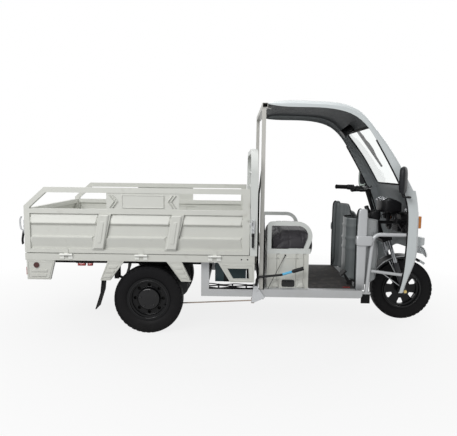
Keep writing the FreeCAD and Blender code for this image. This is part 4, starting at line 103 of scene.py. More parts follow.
class Surface:
    """A principled material whose colour, roughness and bump come from noise in the piece's own space."""

    def __init__(self, name, colour, rough, metal=0.0, vary=0.07, patch=5, rough_vary=0.08, grain=700,
                 relief=0.06, coat=0.0, clear=0.0, ior=1.5, sheen=0.0, shine=0.5):
        self.material = bpy.data.materials.new(name)
        self.material.use_nodes = True
        self.tree = self.material.node_tree
        self.shader = self.tree.nodes["Principled BSDF"]
        for socket, amount in (("Metallic", metal), ("Coat Weight", coat), ("Coat Roughness", COAT_ROUGHNESS),
                               ("Transmission Weight", clear), ("IOR", ior), ("Sheen Weight", sheen),
                               ("Specular IOR Level", shine)):
            self.shader.inputs[socket].default_value = amount
        self.place = self.add("ShaderNodeTexCoord").outputs["Object"]
        self.tint = self.blend(self.noise(patch, 5), shade(colour, 1 - vary), shade(colour, 1 + vary))
        self.join(self.tint, "Base Color")
        smoothest = max(LEAST_ROUGHNESS, rough - rough_vary)
        roughest = min(1.0, rough + rough_vary)
        self.join(self.band(self.noise(patch * 9, 3), 0, 1, smoothest, roughest), "Roughness")
        bump = self.add("ShaderNodeBump", {
            "Height": self.noise(grain, 2), "Strength": relief, "Distance": GRAIN_DEPTH})
        self.normal = bump.outputs["Normal"]
        self.join(self.normal, "Normal")

    def add(self, kind, inputs=None, **settings):
        return add_node(self.tree, kind, inputs, **settings)

    def join(self, output, socket):
        self.tree.links.new(output, self.shader.inputs[socket])

    def noise(self, scale, detail, stretch=None):
        """The factor of a noise texture, stretched along an axis where a stretch is given."""
        place = self.place
        if stretch:
            place = self.add("ShaderNodeMapping", {"Vector": place, "Scale": stretch}).outputs["Vector"]
        texture = self.add("ShaderNodeTexNoise", {"Vector": place, "Scale": scale, "Detail": detail})
        return texture.outputs["Fac"]

    def blend(self, factor, first, second):
        """A colour between two, each a colour or another node's output."""
        mix = self.add("ShaderNodeMix", {"Factor": factor, 6: first, 7: second}, data_type="RGBA")
        return mix.outputs[2]

    def band(self, value, low, high, first=0, last=1):
        """A factor that goes from first to last as a value goes from low to high."""
        ramp = self.add("ShaderNodeMapRange", {
            "Value": value, "From Min": low, "From Max": high, "To Min": first, "To Max": last})
        return ramp.outputs["Result"]

    def paint(self, factor, colour):
        """Lay a colour over the tint where a factor is high."""
        self.tint = self.blend(factor, self.tint, colour)
        self.join(self.tint, "Base Color")
        return self

    def speckle(self, colour, scale, low, high):
        """Spots of another colour where a noise is high."""
        return self.paint(self.band(self.noise(scale, 6), low, high), colour)

    def dusty(self, colour, low, high, most=0.5):
        """Dust that thickens towards the ground."""
        height = self.add("ShaderNodeSeparateXYZ", {"Vector": self.place}).outputs["Z"]
        fall = self.band(height, low, high, most, 0)
        patchy = self.add("ShaderNodeMath", {0: fall, 1: self.noise(14, 6)}, operation="MULTIPLY")
        return self.paint(patchy.outputs["Value"], colour)

    def roughen(self, height, strength, depth):
        """A second bump over the grain."""
        bump = self.add("ShaderNodeBump", {
            "Height": height, "Strength": strength, "Distance": depth, "Normal": self.normal})
        self.join(bump.outputs["Normal"], "Normal")
        return self

    def pitted(self, scale, strength, depth):
        """Cells, as in leather grain or moulded texture."""
        cells = self.add("ShaderNodeTexVoronoi", {"Vector": self.place, "Scale": scale})
        return self.roughen(cells.outputs["Distance"], strength, depth)

    def brushed(self, stretch, strength, depth):
        """Fine scratches along one direction."""
        return self.roughen(self.noise(60, 3, stretch), strength, depth)


looks = {}
DUST = tone(150, 146, 136)


def finish(name, colour, rough, **traits):
    """A material kept under its name, from a colour in display steps."""
    looks[name] = Surface(name, tone(*colour), rough, **traits)
    return looks[name]


def look(name):
    return looks[name].material


bed_paint = finish("bed_paint", (201, 202, 196), 0.42, vary=0.05)
bed_paint.speckle(tone(176, 174, 166), 9, 0.62, 0.9).dusty(DUST, 0.40, 0.75, 0.35)
finish("hoop_paint", (202, 205, 202), 0.36, vary=0.05)
finish("canopy_white", (204, 210, 211), 0.24, vary=0.03, coat=0.4, relief=0.03)
silver_paint = finish("silver_paint", (184, 186, 188), 0.34, metal=0.25, vary=0.06, grain=1500)
silver_paint.dusty(DUST, 0.28, 0.60, 0.35)
finish("post_paint", (186, 185, 180), 0.38, metal=0.1, vary=0.06).dusty(DUST, 0.3, 0.8, 0.3)
finish("frame_black", (20, 20, 22), 0.5, vary=0.2, shine=0.15).dusty(DUST, 0.1, 0.7, 0.1)
finish("dark_plastic", (98, 103, 104), 0.34, vary=0.05, grain=1200, relief=0.03)
lining_grey = finish("lining_grey", (132, 137, 139), 0.46, vary=0.06, grain=1600, relief=0.15)
lining_grey.brushed((0.15, 1.6, 0.6), 0.5, 0.012)
roof_lining = finish("roof_lining", (76, 79, 81), 0.56, vary=0.08, grain=1600, relief=0.15, shine=0.15)
roof_lining.brushed((0.08, 2.2, 0.6), 0.6, 0.014)
finish("black_plastic", (22, 22, 24), 0.42, vary=0.15, grain=1800, relief=0.2, shine=0.2)
finish("gloss_black", (18, 18, 20), 0.16, vary=0.15, shine=0.35)
finish("mirror_shell", (28, 29, 32), 0.42, vary=0.1, grain=1800, relief=0.2, shine=0.2)
tyre_rubber = finish("tyre_rubber", (16, 16, 18), 0.58, vary=0.2, grain=900, relief=0.12, shine=0.11)
tyre_rubber.dusty(tone(86, 82, 76), 0.0, 0.6, 0.09)
finish("soft_rubber", (20, 20, 21), 0.72, vary=0.2, grain=900, relief=0.2, shine=0.12)
mat_rubber = finish("mat_rubber", (34, 32, 31), 0.72, vary=0.25, patch=14)
mat_rubber.speckle(tone(96, 90, 82), 22, 0.55, 0.85).pitted(260, 0.5, 0.002)
finish("rim_black", (11, 11, 13), 0.22, vary=0.15, shine=0.2)
finish("steel", (172, 172, 170), 0.32, metal=0.9, vary=0.08, patch=30).brushed((1, 1, 12), 0.1, 0.0004)
rod_steel = finish("rod_steel", (138, 126, 116), 0.42, metal=0.6, vary=0.15, patch=40)
rod_steel.speckle(tone(112, 76, 52), 18, 0.55, 0.85)
finish("chrome", (208, 210, 214), 0.12, metal=1.0, vary=0.04, patch=20, rough_vary=0.05)
finish("fork_chrome", (150, 152, 155), 0.2, metal=1.0, vary=0.06, patch=20, rough_vary=0.06)
# Hinge knuckles: a lighter copy of the bed paint, a painted highlight on the hinge barrels
finish("hinge_painted_highlight", (226, 227, 222), 0.34, vary=0.04)
finish("rim_gloss", (13, 13, 15), 0.12, vary=0.1, rough_vary=0.04, coat=0.06, shine=0.3)
finish("fairing_grey", (150, 153, 154), 0.3, metal=0.15, vary=0.05, grain=1400, relief=0.04)
finish("cast_grey", (62, 63, 65), 0.55, metal=0.5, vary=0.12, patch=24, grain=380, relief=0.3)
finish("alloy", (46, 46, 49), 0.36, metal=0.5, vary=0.12, patch=22)
finish("brass_plate", (206, 184, 120), 0.34, metal=0.95, vary=0.1, patch=40)
finish("battery_teal", (9, 46, 52), 0.42, vary=0.1, grain=1200, relief=0.12)
seat_vinyl = finish("seat_vinyl", (46, 44, 48), 0.46, vary=0.12, grain=600, relief=0.1, sheen=0.08,
                    shine=0.25)
seat_vinyl.pitted(420, 0.35, 0.0012)
finish("glass", (250, 253, 252), 0.01, vary=0.01, rough_vary=0.01, relief=0.0, clear=1.0, ior=1.1)
finish("lens_clear", (240, 243, 245), 0.06, vary=0.02, rough_vary=0.03, clear=0.85, ior=1.49)
finish("lamp_flutes", (206, 211, 215), 0.1, metal=0.75, vary=0.04, patch=30, rough_vary=0.04, relief=0.02,
       coat=0.6)
finish("lens_amber", (238, 140, 26), 0.2, vary=0.08, patch=40, clear=0.15, coat=0.5)
finish("lens_red", (150, 26, 22), 0.2, vary=0.12, patch=40, clear=0.15, coat=0.5)
finish("reflector_red", (66, 26, 24), 0.26, vary=0.2, patch=60).pitted(700, 0.4, 0.001)
finish("mirror_glass", (158, 168, 162), 0.06, metal=1.0, vary=0.02, rough_vary=0.02, relief=0.01)
finish("blue_tape", (84, 172, 212), 0.4, vary=0.12, patch=60, grain=300, relief=0.2)
finish("bright_trim", (196, 198, 200), 0.25, metal=0.4, vary=0.06, patch=30)
finish("clear_lip", (214, 219, 221), 0.16, vary=0.03, clear=0.3, coat=0.4)


def dress(node, *names, choose=None):
    """Give a CAD node its material, or one of several for each face by a test on its middle and normal."""
    mesh = nodes[node].data
    mesh.materials.clear()
    for name in names:
        mesh.materials.append(look(name))
    if choose:
        for face in mesh.polygons:
            face.material_index = choose(face.center, face.normal)


def facing_in(middle, normal, centre):
    """True where a face looks towards a point inside the cab."""
    return normal.dot(middle - centre) < 0


PLAIN = {
    "bed_paint": ("cargo_floor", "tailgate", "skirt_brackets", "seat_base"),
    "hoop_paint": ("headboard", "seat_side_frames"),
    "post_paint": ("cab_rear_frame",),
    "tyre_rubber": ("rear_tyre_left", "rear_tyre_right", "front_tyre"),
    "rim_black": ("rear_rim_left", "rear_rim_right", "front_rim", "brake_drum_left", "brake_drum_right"),
    "frame_black": ("rear_axle", "leaf_springs", "brake_pedal", "handlebar"),
    "cast_grey": ("drive_motor",),
    "steel": ("hinge_pins", "latch_front_left", "latch_front_right", "latch_rear_left", "latch_rear_right"),
    "rod_steel": ("brake_rod",),
    "soft_rubber": ("mud_flaps", "grip_left", "throttle_grip", "held_cables", "windscreen_seal"),
    "mat_rubber": ("floor_mat",),
    "battery_teal": ("battery_pack",),
    "seat_vinyl": ("seat_cushion",),
    "glass": ("windscreen",),
    "dark_plastic": ("leg_shield",),
    "black_plastic": ("mirror_arms", "instrument_binnacle", "switch_pods", "wiper", "wiper_motor"),
    "mirror_shell": ("mirror_left", "mirror_right"),
    "brass_plate": ("front_axle",),
    "alloy": ("fork_lowers",),
}
for plain_look, members in PLAIN.items():
    for member in members:
        dress(member, plain_look)

REAR_AXLE = (-0.727, 0.455, 0.273)
FRONT_AXLE = (1.443, 0.0, 0.267)
CAB_MIDDLE = Vector((0.62, 0, 1.25))
ROOF_DOWN = -0.6
SHIELD_MIDDLE_X = 1.16
HINGE_OUT = 0.5715
BEAM_IN = 0.531
BEAM_REAR, BEAM_FRONT = -1.66, 0.1
GATE_FOOT = 0.6545
SILL_IN, SILL_REAR = 0.4395, -0.315
FLOOR_TOP = 0.3755
POST_REAR, POST_FOOT, POST_TOP = 0.985, 0.4, 0.99
LAMP_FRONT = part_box("headlamp")[1].x
LAMP_HEIGHT = 0.88
LAMP_BEZEL_DEPTH, LENS_RADIUS = 0.075, 0.0875
REFLECTOR_OUT = 0.56
STANCHION_Y, STANCHION_RADIUS, STANCHION_TOP = 0.085, 0.0162, 0.685
FENDER_INSIDE, FENDER_LIP = 0.272, 1.575
CRANK_FRONT, CRANK_TOP = 0.215, 0.402

dress("canopy_lining", "lining_grey", "roof_lining", choose=lambda c, n: n.z < ROOF_DOWN)
dress("canopy_shell", "canopy_white", "lining_grey", "roof_lining", choose=lambda c, n: (
    facing_in(c, n, Vector((CAB_MIDDLE.x, c.y * 0.5, CAB_MIDDLE.z))) * (2 if n.z < ROOF_DOWN else 1)))
dress("front_shield", "canopy_white", "lining_grey", choose=lambda c, n: (
    facing_in(c, n, Vector((SHIELD_MIDDLE_X, c.y * 0.6, c.z)))))
# Faces past the hinge line, on the bed frame and on the gates below their foot, take the lighter hinge
# finish: a painted highlight on the knuckles
dress("bed_frame", "bed_paint", "frame_black", "hinge_painted_highlight", choose=lambda c, n: (
    2 if abs(c.y) > HINGE_OUT else int(abs(c.y) < BEAM_IN and BEAM_REAR < c.x < BEAM_FRONT)))
for gate in ("gate_left", "gate_right"):
    dress(gate, "bed_paint", "hinge_painted_highlight", choose=lambda c, n: c.z < GATE_FOOT and abs(c.y) > HINGE_OUT)
dress("main_frame", "frame_black", "silver_paint", choose=lambda c, n: abs(c.y) > SILL_IN and c.x > SILL_REAR)
dress("floor_pan", "silver_paint", "frame_black", choose=lambda c, n: c.z > FLOOR_TOP)
dress("cab_front_frame", "silver_paint", "dark_plastic", choose=lambda c, n: (
    c.x < POST_REAR and c.z > POST_FOOT
    and (n.y * c.y < -0.2 or n.x < -0.5 or (n.z > 0.5 and c.z > POST_TOP))))
dress("headlamp", "black_plastic", "chrome", "lens_clear", choose=lambda c, n: (
    0 if c.x < LAMP_FRONT - LAMP_BEZEL_DEPTH
    else 2 if Vector((c.y, c.z - LAMP_HEIGHT)).length < LENS_RADIUS else 1))
dress("turn_signals", "lens_amber", "black_plastic", choose=lambda c, n: n.x < -0.5)
dress("tail_lamps", "lens_red", "reflector_red", choose=lambda c, n: abs(c.y) > REFLECTOR_OUT)
dress("fork_crown", "frame_black", "fork_chrome", choose=lambda c, n: (
    abs(abs(c.y) - STANCHION_Y) < STANCHION_RADIUS and c.z < STANCHION_TOP))
dress("front_fender", "black_plastic", "bright_trim", "clear_lip", choose=lambda c, n: (
    1 if Vector((c.x - FRONT_AXLE[0], c.z - FRONT_AXLE[2])).length < FENDER_INSIDE
    else 2 if c.x > FENDER_LIP else 0))
dress("parking_lever", "black_plastic", "bright_trim", choose=lambda c, n: (
    c.x < CRANK_FRONT and c.z < CRANK_TOP))


# Pieces

def make_piece(name, mesh, body, finish_name, smooth=True):
    """A named object of a mesh, dressed and riding on a body."""
    piece = bpy.data.objects.new(name, mesh)
    scene.collection.objects.link(piece)
    mesh.materials.append(look(finish_name))
    for face in mesh.polygons:
        face.use_smooth = smooth
    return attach(piece, body)


def build_piece(name, build, body, finish_name, smooth=True):
    """A piece whose form a function adds to an empty mesh."""
    mesh = bpy.data.meshes.new("form")
    form = bmesh.new()
    build(form)
    bmesh.ops.recalc_face_normals(form, faces=form.faces)
    form.to_mesh(mesh)
    form.free()
    return make_piece(name, mesh, body, finish_name, smooth)


def build_pair(name, build, body, finish_name, smooth=True):
    """A left and a right piece, whose form a function adds for a side of 1 or -1."""
    return [build_piece("%s_%s" % (name, label), lambda form: build(form, side), body.format(label),
                        finish_name, smooth) for side, label in SIDES]


def sheet_mesh(name, points, wide):
    """A mesh of quads on rows of points, with so many points in a row."""
    rows = len(points) // wide
    mesh = bpy.data.meshes.new(name)
    mesh.from_pydata(points, [], [
        (row * wide + n, row * wide + n + 1, (row + 1) * wide + n + 1, (row + 1) * wide + n)
        for row in range(rows - 1) for n in range(wide - 1)])
    return mesh


def add_hull(form, points):
    """A convex block on points."""
    corners = [form.verts.new(point) for point in points]
    bmesh.ops.convex_hull(form, input=corners)


def add_block(form, xs, ys, zs):
    """A box between two places on each axis."""
    add_hull(form, [(x, y, z) for x in xs for y in ys for z in zs])


def add_rings(form, rings, closed=False, caps=(0, -1)):
    """Faces between rings of points, closed into a ring or capped at some of its ends."""
    rings = [[form.verts.new(point) for point in ring] for ring in rings]
    pairs = list(zip(rings, rings[1:]))
    if closed:
        pairs.append((rings[-1], rings[0]))
        caps = ()
    for low, high in pairs:
        for number in range(len(low)):
            after = (number + 1) % len(low)
            form.faces.new((low[number], low[after], high[after], high[number]))
    for end in caps:
        form.faces.new(rings[end])


def turns(count):
    """Angles in equal steps round a circle."""
    return [2 * math.pi * number / count for number in range(count)]


def circle(middle, side, other, radius, count):
    return [middle + (side * math.cos(turn) + other * math.sin(turn)) * radius for turn in turns(count)]


def upright_circle(middle, radius, count):
    """A circle in the plane of a wheel."""
    return circle(middle, Vector((1, 0, 0)), Vector((0, 0, 1)), radius, count)


def squared_circle(count, power):
    """Points round a unit circle, pushed out to a square with round corners by a power below 1."""
    return [[math.copysign(abs(part) ** power, part) for part in (math.cos(turn), math.sin(turn))]
            for turn in turns(count)]


def add_round(form, start, along, profile, sides=24, closed=False):
    """A turned form: rings of (distance along, radius) about a line, capped or closed into a ring."""
    along = Vector(along).normalized()
    side = along.orthogonal().normalized()
    other = along.cross(side)
    rings = [circle(Vector(start) + along * step, side, other, radius, sides) for step, radius in profile]
    add_rings(form, rings, closed)


def add_tube(form, points, radius, sides=10, closed=False):
    """A round tube through points."""
    points = [Vector(point) for point in points]
    count = len(points)
    rings = []
    side = None
    for number, point in enumerate(points):
        before = points[number - 1] if number or closed else point
        after = points[(number + 1) % count] if number + 1 < count or closed else point
        along = (after - before).normalized()
        side = (side - along * side.dot(along)).normalized() if side else along.orthogonal().normalized()
        rings.append(circle(point, side, along.cross(side), radius, sides))
    add_rings(form, rings, closed)


WASHER_SHARES = ((-0.153846, 1.5), (0.3, 1.5), (0.35, 1.4))
HEXAGON_SHARES = ((0.3, 1), (1.1, 1), (1.25, 0.85))
SHANK_END_SHARES = ((1, 0.5), (1.6, 0.5), (1.75, 0.35))


def add_bolt(form, place, out, radius):
    """A washer with a hexagon head and a short shank end, in shares of the head's radius."""
    for profile, sides in ((WASHER_SHARES, 20), (HEXAGON_SHARES, 6), (SHANK_END_SHARES, 12)):
        add_round(form, place, out, [(step * radius, reach * radius) for step, reach in profile], sides)


def smooth_line(points, steps=8):
    """Points along a smooth curve through points."""
    points = [Vector(point) for point in points]
    ends = [points[0] * 2 - points[1]] + points + [points[-1] * 2 - points[-2]]
    line = []
    for a, b, c, e in zip(ends, ends[1:], ends[2:], ends[3:]):
        for number in range(steps):
            t = number / steps
            line.append(0.5 * ((2 * b) + (c - a) * t + (2 * a - 5 * b + 4 * c - e) * t ** 2
                               + (3 * b - a - 3 * c + e) * t ** 3))
    return line + [points[-1]]


def eased(share):
    """A share of 0 to 1 that starts and ends gently."""
    return share * share * (3 - 2 * share)


# Seat cushion: foam under vinyl, swelled by a cloth simulation between the seat's hoops

PAD_START_SHARES = (0.965, 0.978, 0.95)
PAD_VOXEL = 0.006
PAD_HELD = 0.012
SWELL_PRESSURE, SWELL_CAP = 4, 0.013
SWELL_STEPS = 20
SEAT_CROWN = 0.842
SLICE = 0.012
LEVEL_FROM, LEVEL_RUN = 0.300, 0.045
NOSE_FROM, NOSE_RUN, NOSE_DROP = 0.545, 0.05, 0.048
CROSS_SEAMS, CROSS_DIP, CROSS_WIDTH = (-0.135, 0.135), 0.008, 0.006
LONG_SEAMS, LONG_DIP, LONG_WIDTH = (0.395, 0.495), 0.005, 0.005
MOST_DIP = 0.009
TOP_NORMAL = 0.25


def soft_cushion():
    """The bench pad, started a little smaller than its solid, swelled, squared at its front and sewn."""
    mesh = nodes["seat_cushion"].data.copy()
    pad = bpy.data.objects.new("seat_pad", mesh)
    scene.collection.objects.link(pad)
    low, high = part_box("seat_cushion")
    middle = (low + high) / 2
    for corner in mesh.vertices:
        corner.co.x = middle.x + (corner.co.x - middle.x) * PAD_START_SHARES[0]
        corner.co.y = middle.y + (corner.co.y - middle.y) * PAD_START_SHARES[1]
        corner.co.z = low.z + (corner.co.z - low.z) * PAD_START_SHARES[2]
    bpy.context.view_layer.objects.active = pad
    pad.select_set(True)
    remesh = pad.modifiers.new("remesh", "REMESH")
    remesh.mode = "VOXEL"
    remesh.voxel_size = PAD_VOXEL
    bpy.ops.object.modifier_apply(modifier=remesh.name)
    swell(pad, low.z + PAD_HELD, SWELL_CAP)
    sew(pad)
    subdivide = pad.modifiers.new("subdivide", "SUBSURF")
    subdivide.levels = 1
    subdivide.render_levels = 1
    bpy.ops.object.modifier_apply(modifier=subdivide.name)
    pad.data.materials.clear()
    pad.data.materials.append(look("seat_vinyl"))
    for face in pad.data.polygons:
        face.use_smooth = True
    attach(pad, "chassis")
    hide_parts("seat_cushion")


def swell(pad, rest_height, cap):
    """Blow the pad up as cloth with its foot held, and limit how far each point moves."""
    start = [corner.co.copy() for corner in pad.data.vertices]
    held = pad.vertex_groups.new(name="held")
    held.add([number for number, place in enumerate(start) if place.z < rest_height], 1.0, "REPLACE")
    cloth = pad.modifiers.new("cloth", "CLOTH")
    cloth.settings.use_pressure = True
    cloth.settings.uniform_pressure_force = SWELL_PRESSURE
    cloth.settings.vertex_group_mass = held.name
    cloth.settings.effector_weights.gravity = 0
    for number in range(1, SWELL_STEPS + 1):
        scene.frame_set(number)
    bpy.ops.object.modifier_apply(modifier=cloth.name)
    scene.frame_set(1)
    for corner, place in zip(pad.data.vertices, start):
        step = corner.co - place
        if step.length > cap:
            corner.co = place + step * (cap / step.length)


def slice_crowns(pad):
    """The pad's highest point in each slice along its depth."""
    crowns = {}
    for corner in pad.data.vertices:
        number = math.floor(corner.co.x / SLICE)
        crowns[number] = max(crowns.get(number, 0), corner.co.z)
    return crowns


def crown_at(crowns, x):
    """The height of the crown at a depth, between the middles of two slices."""
    spot = x / SLICE - 0.5
    number = math.floor(spot)
    near = crowns.get(number, crowns.get(number + 1))
    return near + (crowns.get(number + 1, near) - near) * (spot - number)


def sew(pad):
    """Level the crown up to its front edge, and press two channels across the bench and two along it."""
    normals = [corner.normal.copy() for corner in pad.data.vertices]
    foot = min(corner.co.z for corner in pad.data.vertices)
    crowns = slice_crowns(pad)
    for corner, normal in zip(pad.data.vertices, normals):
        crown = crown_at(crowns, corner.co.x)
        rise = min(1, max(0, (corner.co.x - LEVEL_FROM) / LEVEL_RUN))
        wanted = SEAT_CROWN - NOSE_DROP * max(0, (corner.co.x - NOSE_FROM) / NOSE_RUN) ** 2
        corner.co.z += (wanted - crown) * rise * (corner.co.z - foot) / (crown - foot)
        if normal.z < TOP_NORMAL:
            continue
        dip = sum(CROSS_DIP * math.exp(-((corner.co.y - seam) / CROSS_WIDTH) ** 2) for seam in CROSS_SEAMS)
        dip += sum(LONG_DIP * math.exp(-((corner.co.x - seam) / LONG_WIDTH) ** 2) for seam in LONG_SEAMS)
        corner.co -= normal * min(dip, MOST_DIP)


soft_cushion()


# Wheels: tread blocks, nuts with a valve, hub caps, rolled beads and dust shields

TREAD_COUNT = 40
TREAD_ROWS = ((-0.40, 0), (-0.14, 0.5), (0.14, 0), (0.40, 0.5))
SHOULDER_FROM, SHOULDER_DROP, CROWN_DROP = 0.3, 0.0045, 0.0005
BLOCK_DEPTH = 0.016
BLOCK_FILL_SHARE, BLOCK_SKEW_SHARE, BLOCK_WIDTH_SHARE = 0.62, 0.25, 0.105
REAR_TYRE_WIDTH, FRONT_TYRE_WIDTH = 0.105, 0.095
NUT_COUNT, NUT_TURN, NUT_RADIUS = 5, 0.4, 0.0065
NUT_REACH, NUT_OUT = 0.066, 0.0345
HUB_CAP_OUT, DUST_SHIELD_IN = 0.014, 0.034
VALVE_OUT, VALVE_SPOT, VALVE_LEAN = 0.02, Vector((0.118, 0, -0.05)), (0.25, 0.1)
VALVE = ((0, 0.005), (0.022, 0.004), (0.024, 0.0048), (0.034, 0.0048), (0.036, 0.003))
HUB_CAP = ((0, 0.086), (0.012, 0.0875), (0.017, 0.084), (0.0205, 0.076), (0.0210, 0.050), (0.0235, 0.044),
           (0.0240, 0.020))
DUST_SHIELD = ((0, 0.093), (0, 0.140), (0.003, 0.146), (0.006, 0.146), (0.006, 0.120), (0.009, 0.116),
               (0.009, 0.093))
REAR_BEADS = ((0.1530, 0.0425), (0.1335, 0.0005), (0.0935, -0.0035))
FRONT_BEAD_REACH, FRONT_BEAD_Y = 0.156, 0.0525
BEAD, BEAD_STEPS = 0.0042, 72


def add_tread(form, centre, width):
    """Shoulder and middle blocks of the tread, sunk in the tyre."""
    half = math.pi / TREAD_COUNT * BLOCK_FILL_SHARE
    for row, (across, shift) in enumerate(TREAD_ROWS):
        outer = centre.z - (SHOULDER_DROP if abs(across) > SHOULDER_FROM else CROWN_DROP)
        skew = BLOCK_SKEW_SHARE * half * (1 if row % 2 else -1)
        for number in range(TREAD_COUNT):
            turn = 2 * math.pi * (number + shift) / TREAD_COUNT
            add_hull(form, [
                centre + Vector((math.cos(angle) * level, width * (across + BLOCK_WIDTH_SHARE * edge),
                                 math.sin(angle) * level))
                for edge in (-1, 1) for angle in (turn - half + skew * edge, turn + half + skew * edge)
                for level in (outer, outer - BLOCK_DEPTH)])


def rear_hub(side, out=0):
    """The middle of a rear wheel, or a point so far outboard of it."""
    return Vector((REAR_AXLE[0], (REAR_AXLE[1] + out) * side, REAR_AXLE[2]))


def rear_tread(form, side):
    add_tread(form, rear_hub(side), REAR_TYRE_WIDTH)


def wheel_nuts(form, side):
    for turn in turns(NUT_COUNT):
        spot = Vector((math.cos(turn + NUT_TURN), 0, math.sin(turn + NUT_TURN))) * NUT_REACH
        add_bolt(form, rear_hub(side, NUT_OUT) + spot, (0, side, 0), NUT_RADIUS)
    add_round(form, rear_hub(side, VALVE_OUT) + VALVE_SPOT, (VALVE_LEAN[0], side, VALVE_LEAN[1]), VALVE, 14)


def hub_cap(form, side):
    add_round(form, rear_hub(side, HUB_CAP_OUT), (0, side, 0), HUB_CAP, 56)


def rim_beads(form, side):
    for reach, out in REAR_BEADS:
        add_tube(form, upright_circle(rear_hub(side, out), reach, BEAD_STEPS), BEAD, 8, closed=True)


def dust_shield(form, side):
    add_round(form, rear_hub(side, -DUST_SHIELD_IN), (0, side, 0), DUST_SHIELD, 48, closed=True)


def front_tread(form):
    add_tread(form, Vector(FRONT_AXLE), FRONT_TYRE_WIDTH)


def front_beads(form):
    for y in (-FRONT_BEAD_Y, FRONT_BEAD_Y):
        middle = Vector(FRONT_AXLE) + Vector((0, y, 0))
        add_tube(form, upright_circle(middle, FRONT_BEAD_REACH, BEAD_STEPS), BEAD, 8, closed=True)


build_pair("tread_rear", rear_tread, "rear_wheel_{}", "tyre_rubber", smooth=False)
build_pair("wheel_nuts", wheel_nuts, "rear_wheel_{}", "gloss_black")
build_pair("hub_cap", hub_cap, "rear_wheel_{}", "rim_gloss")
build_pair("rim_beads", rim_beads, "rear_wheel_{}", "rim_gloss")
build_pair("dust_shield", dust_shield, "rear_wheel_{}", "frame_black")
build_piece("tread_front", front_tread, "front_wheel", "tyre_rubber", smooth=False)
build_piece("rim_beads_front", front_beads, "front_wheel", "rim_gloss")


# Rear springs: the leaves, and their eyes on the frame's pins

SPRING_Y, SPRING_HALF_WIDTH = 0.300, 0.025
SPRING_TOP, SPRING_EYE, SPRING_SPAN, SPRING_ARCH = 0.359, 0.417, 0.293, 0.062
LEAF, LEAF_HALF = 0.008, 0.0037
LEAF_REACHES = (0.276, 0.241, 0.189, 0.137, 0.085)
LEAF_STEPS = 24
EYE = ((0, 0.0085), (0, 0.0180), (0.001, 0.0190), (0.049, 0.0190), (0.050, 0.0180), (0.050, 0.0085))


def spring_leaves(form):
    for side in (-1, 1):
        for number, reach in enumerate(LEAF_REACHES):
            rings = []
            for step in range(LEAF_STEPS + 1):
                along = reach * (2 * step / LEAF_STEPS - 1)
                z = SPRING_TOP - LEAF * (number + 0.5) + SPRING_ARCH * (along / SPRING_SPAN) ** 2
                middle = Vector((REAR_AXLE[0] + along, SPRING_Y * side, z))
                rings.append([middle + Vector((0, SPRING_HALF_WIDTH * across, LEAF_HALF * up))
                              for across, up in ((-1, -1), (1, -1), (1, 1), (-1, 1))])
            add_rings(form, rings)


def spring_eyes(form):
    for side in (-1, 1):
        for end in (-1, 1):
            start = (REAR_AXLE[0] + SPRING_SPAN * end, SPRING_Y * side - SPRING_HALF_WIDTH, SPRING_EYE)
            add_round(form, start, (0, 1, 0), EYE, 28, closed=True)


leaves = build_piece("spring_leaves", spring_leaves, "chassis", "frame_black", smooth=False)
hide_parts("leaf_springs")
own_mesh(leaves)
build_piece("spring_eyes", spring_eyes, "chassis", "frame_black")


# Leg shield: a moulded sheet with rolled ribs and a black edge

LEG_PLAN_SHARES = ((1, 0), (0.91, 0.48), (0.75, 0.89), (0.57, 1), (0.34, 0.89), (0.27, 0.64), (0.16, -0.18),
                   (0, -0.26))
LEG_RIB_SHARES = ((0.50, 0.007), (0.66, 0.009), (0.86, 0.006))
LEG_REAR, LEG_HOLLOW, LEG_HALF_WIDTH = 0.945, 0.088, 0.438
LEG_LOW, NOTCH_TOP, HORN_RISE = 0.3695, 0.905, 0.088
NOTCH_SHARE, NOTCH_RUN_SHARE = 0.42, 0.3
LEG_RIB_WIDTH_SHARE, KICK_SHARE, KICK_DEPTH = 0.022, 0.16, 0.016
LEG_COLUMNS, LEG_ROWS = 64, 44
LEG_WALL, LEG_EDGE = 0.005, 0.0045


def leg_depth(across):
    """How deep the sheet is hollowed at a share of its half width."""
    for (outer, first), (inner, second) in zip(LEG_PLAN_SHARES, LEG_PLAN_SHARES[1:]):
        if across >= inner:
            return second + (first - second) * eased((across - inner) / (outer - inner))


def leg_top(across):
    """The top edge's height: two rounded horns with a notch between them."""
    return NOTCH_TOP + HORN_RISE * eased(min(1, max(0, (across - NOTCH_SHARE) / NOTCH_RUN_SHARE)))


def leg_point(across, up):
    """A point of the sheet at shares of its half width and height."""
    z = LEG_LOW + (leg_top(abs(across)) - LEG_LOW) * up
    x = LEG_REAR + LEG_HOLLOW * leg_depth(abs(across))
    for height, depth in LEG_RIB_SHARES:
        x -= depth * math.exp(-((up - height) / LEG_RIB_WIDTH_SHARE) ** 2) * (1 - abs(across) ** 6)
    x -= KICK_DEPTH * max(0, 1 - up / KICK_SHARE) ** 2
    return Vector((x, LEG_HALF_WIDTH * across, z))


columns = [-1 + 2 * column / LEG_COLUMNS for column in range(LEG_COLUMNS + 1)]
rows = [row / LEG_ROWS for row in range(LEG_ROWS + 1)]
leg_points = [leg_point(across, up) for up in rows for across in columns]
panel = make_piece("leg_panel", sheet_mesh("leg_panel", leg_points, len(columns)), "chassis", "dark_plastic")
panel.modifiers.new("thickness", "SOLIDIFY").thickness = LEG_WALL
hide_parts("leg_shield")


def leg_edge(form):
    border = [leg_point(-1, up) for up in rows]
    border += [leg_point(across, 1) for across in columns[1:]]
    border += [leg_point(1, 1 - up) for up in rows[1:]]
    add_tube(form, border, LEG_EDGE)


build_piece("leg_panel_edge", leg_edge, "chassis", "soft_rubber")


# Mirrors: rounded housings with a rim and a glass towards the rider

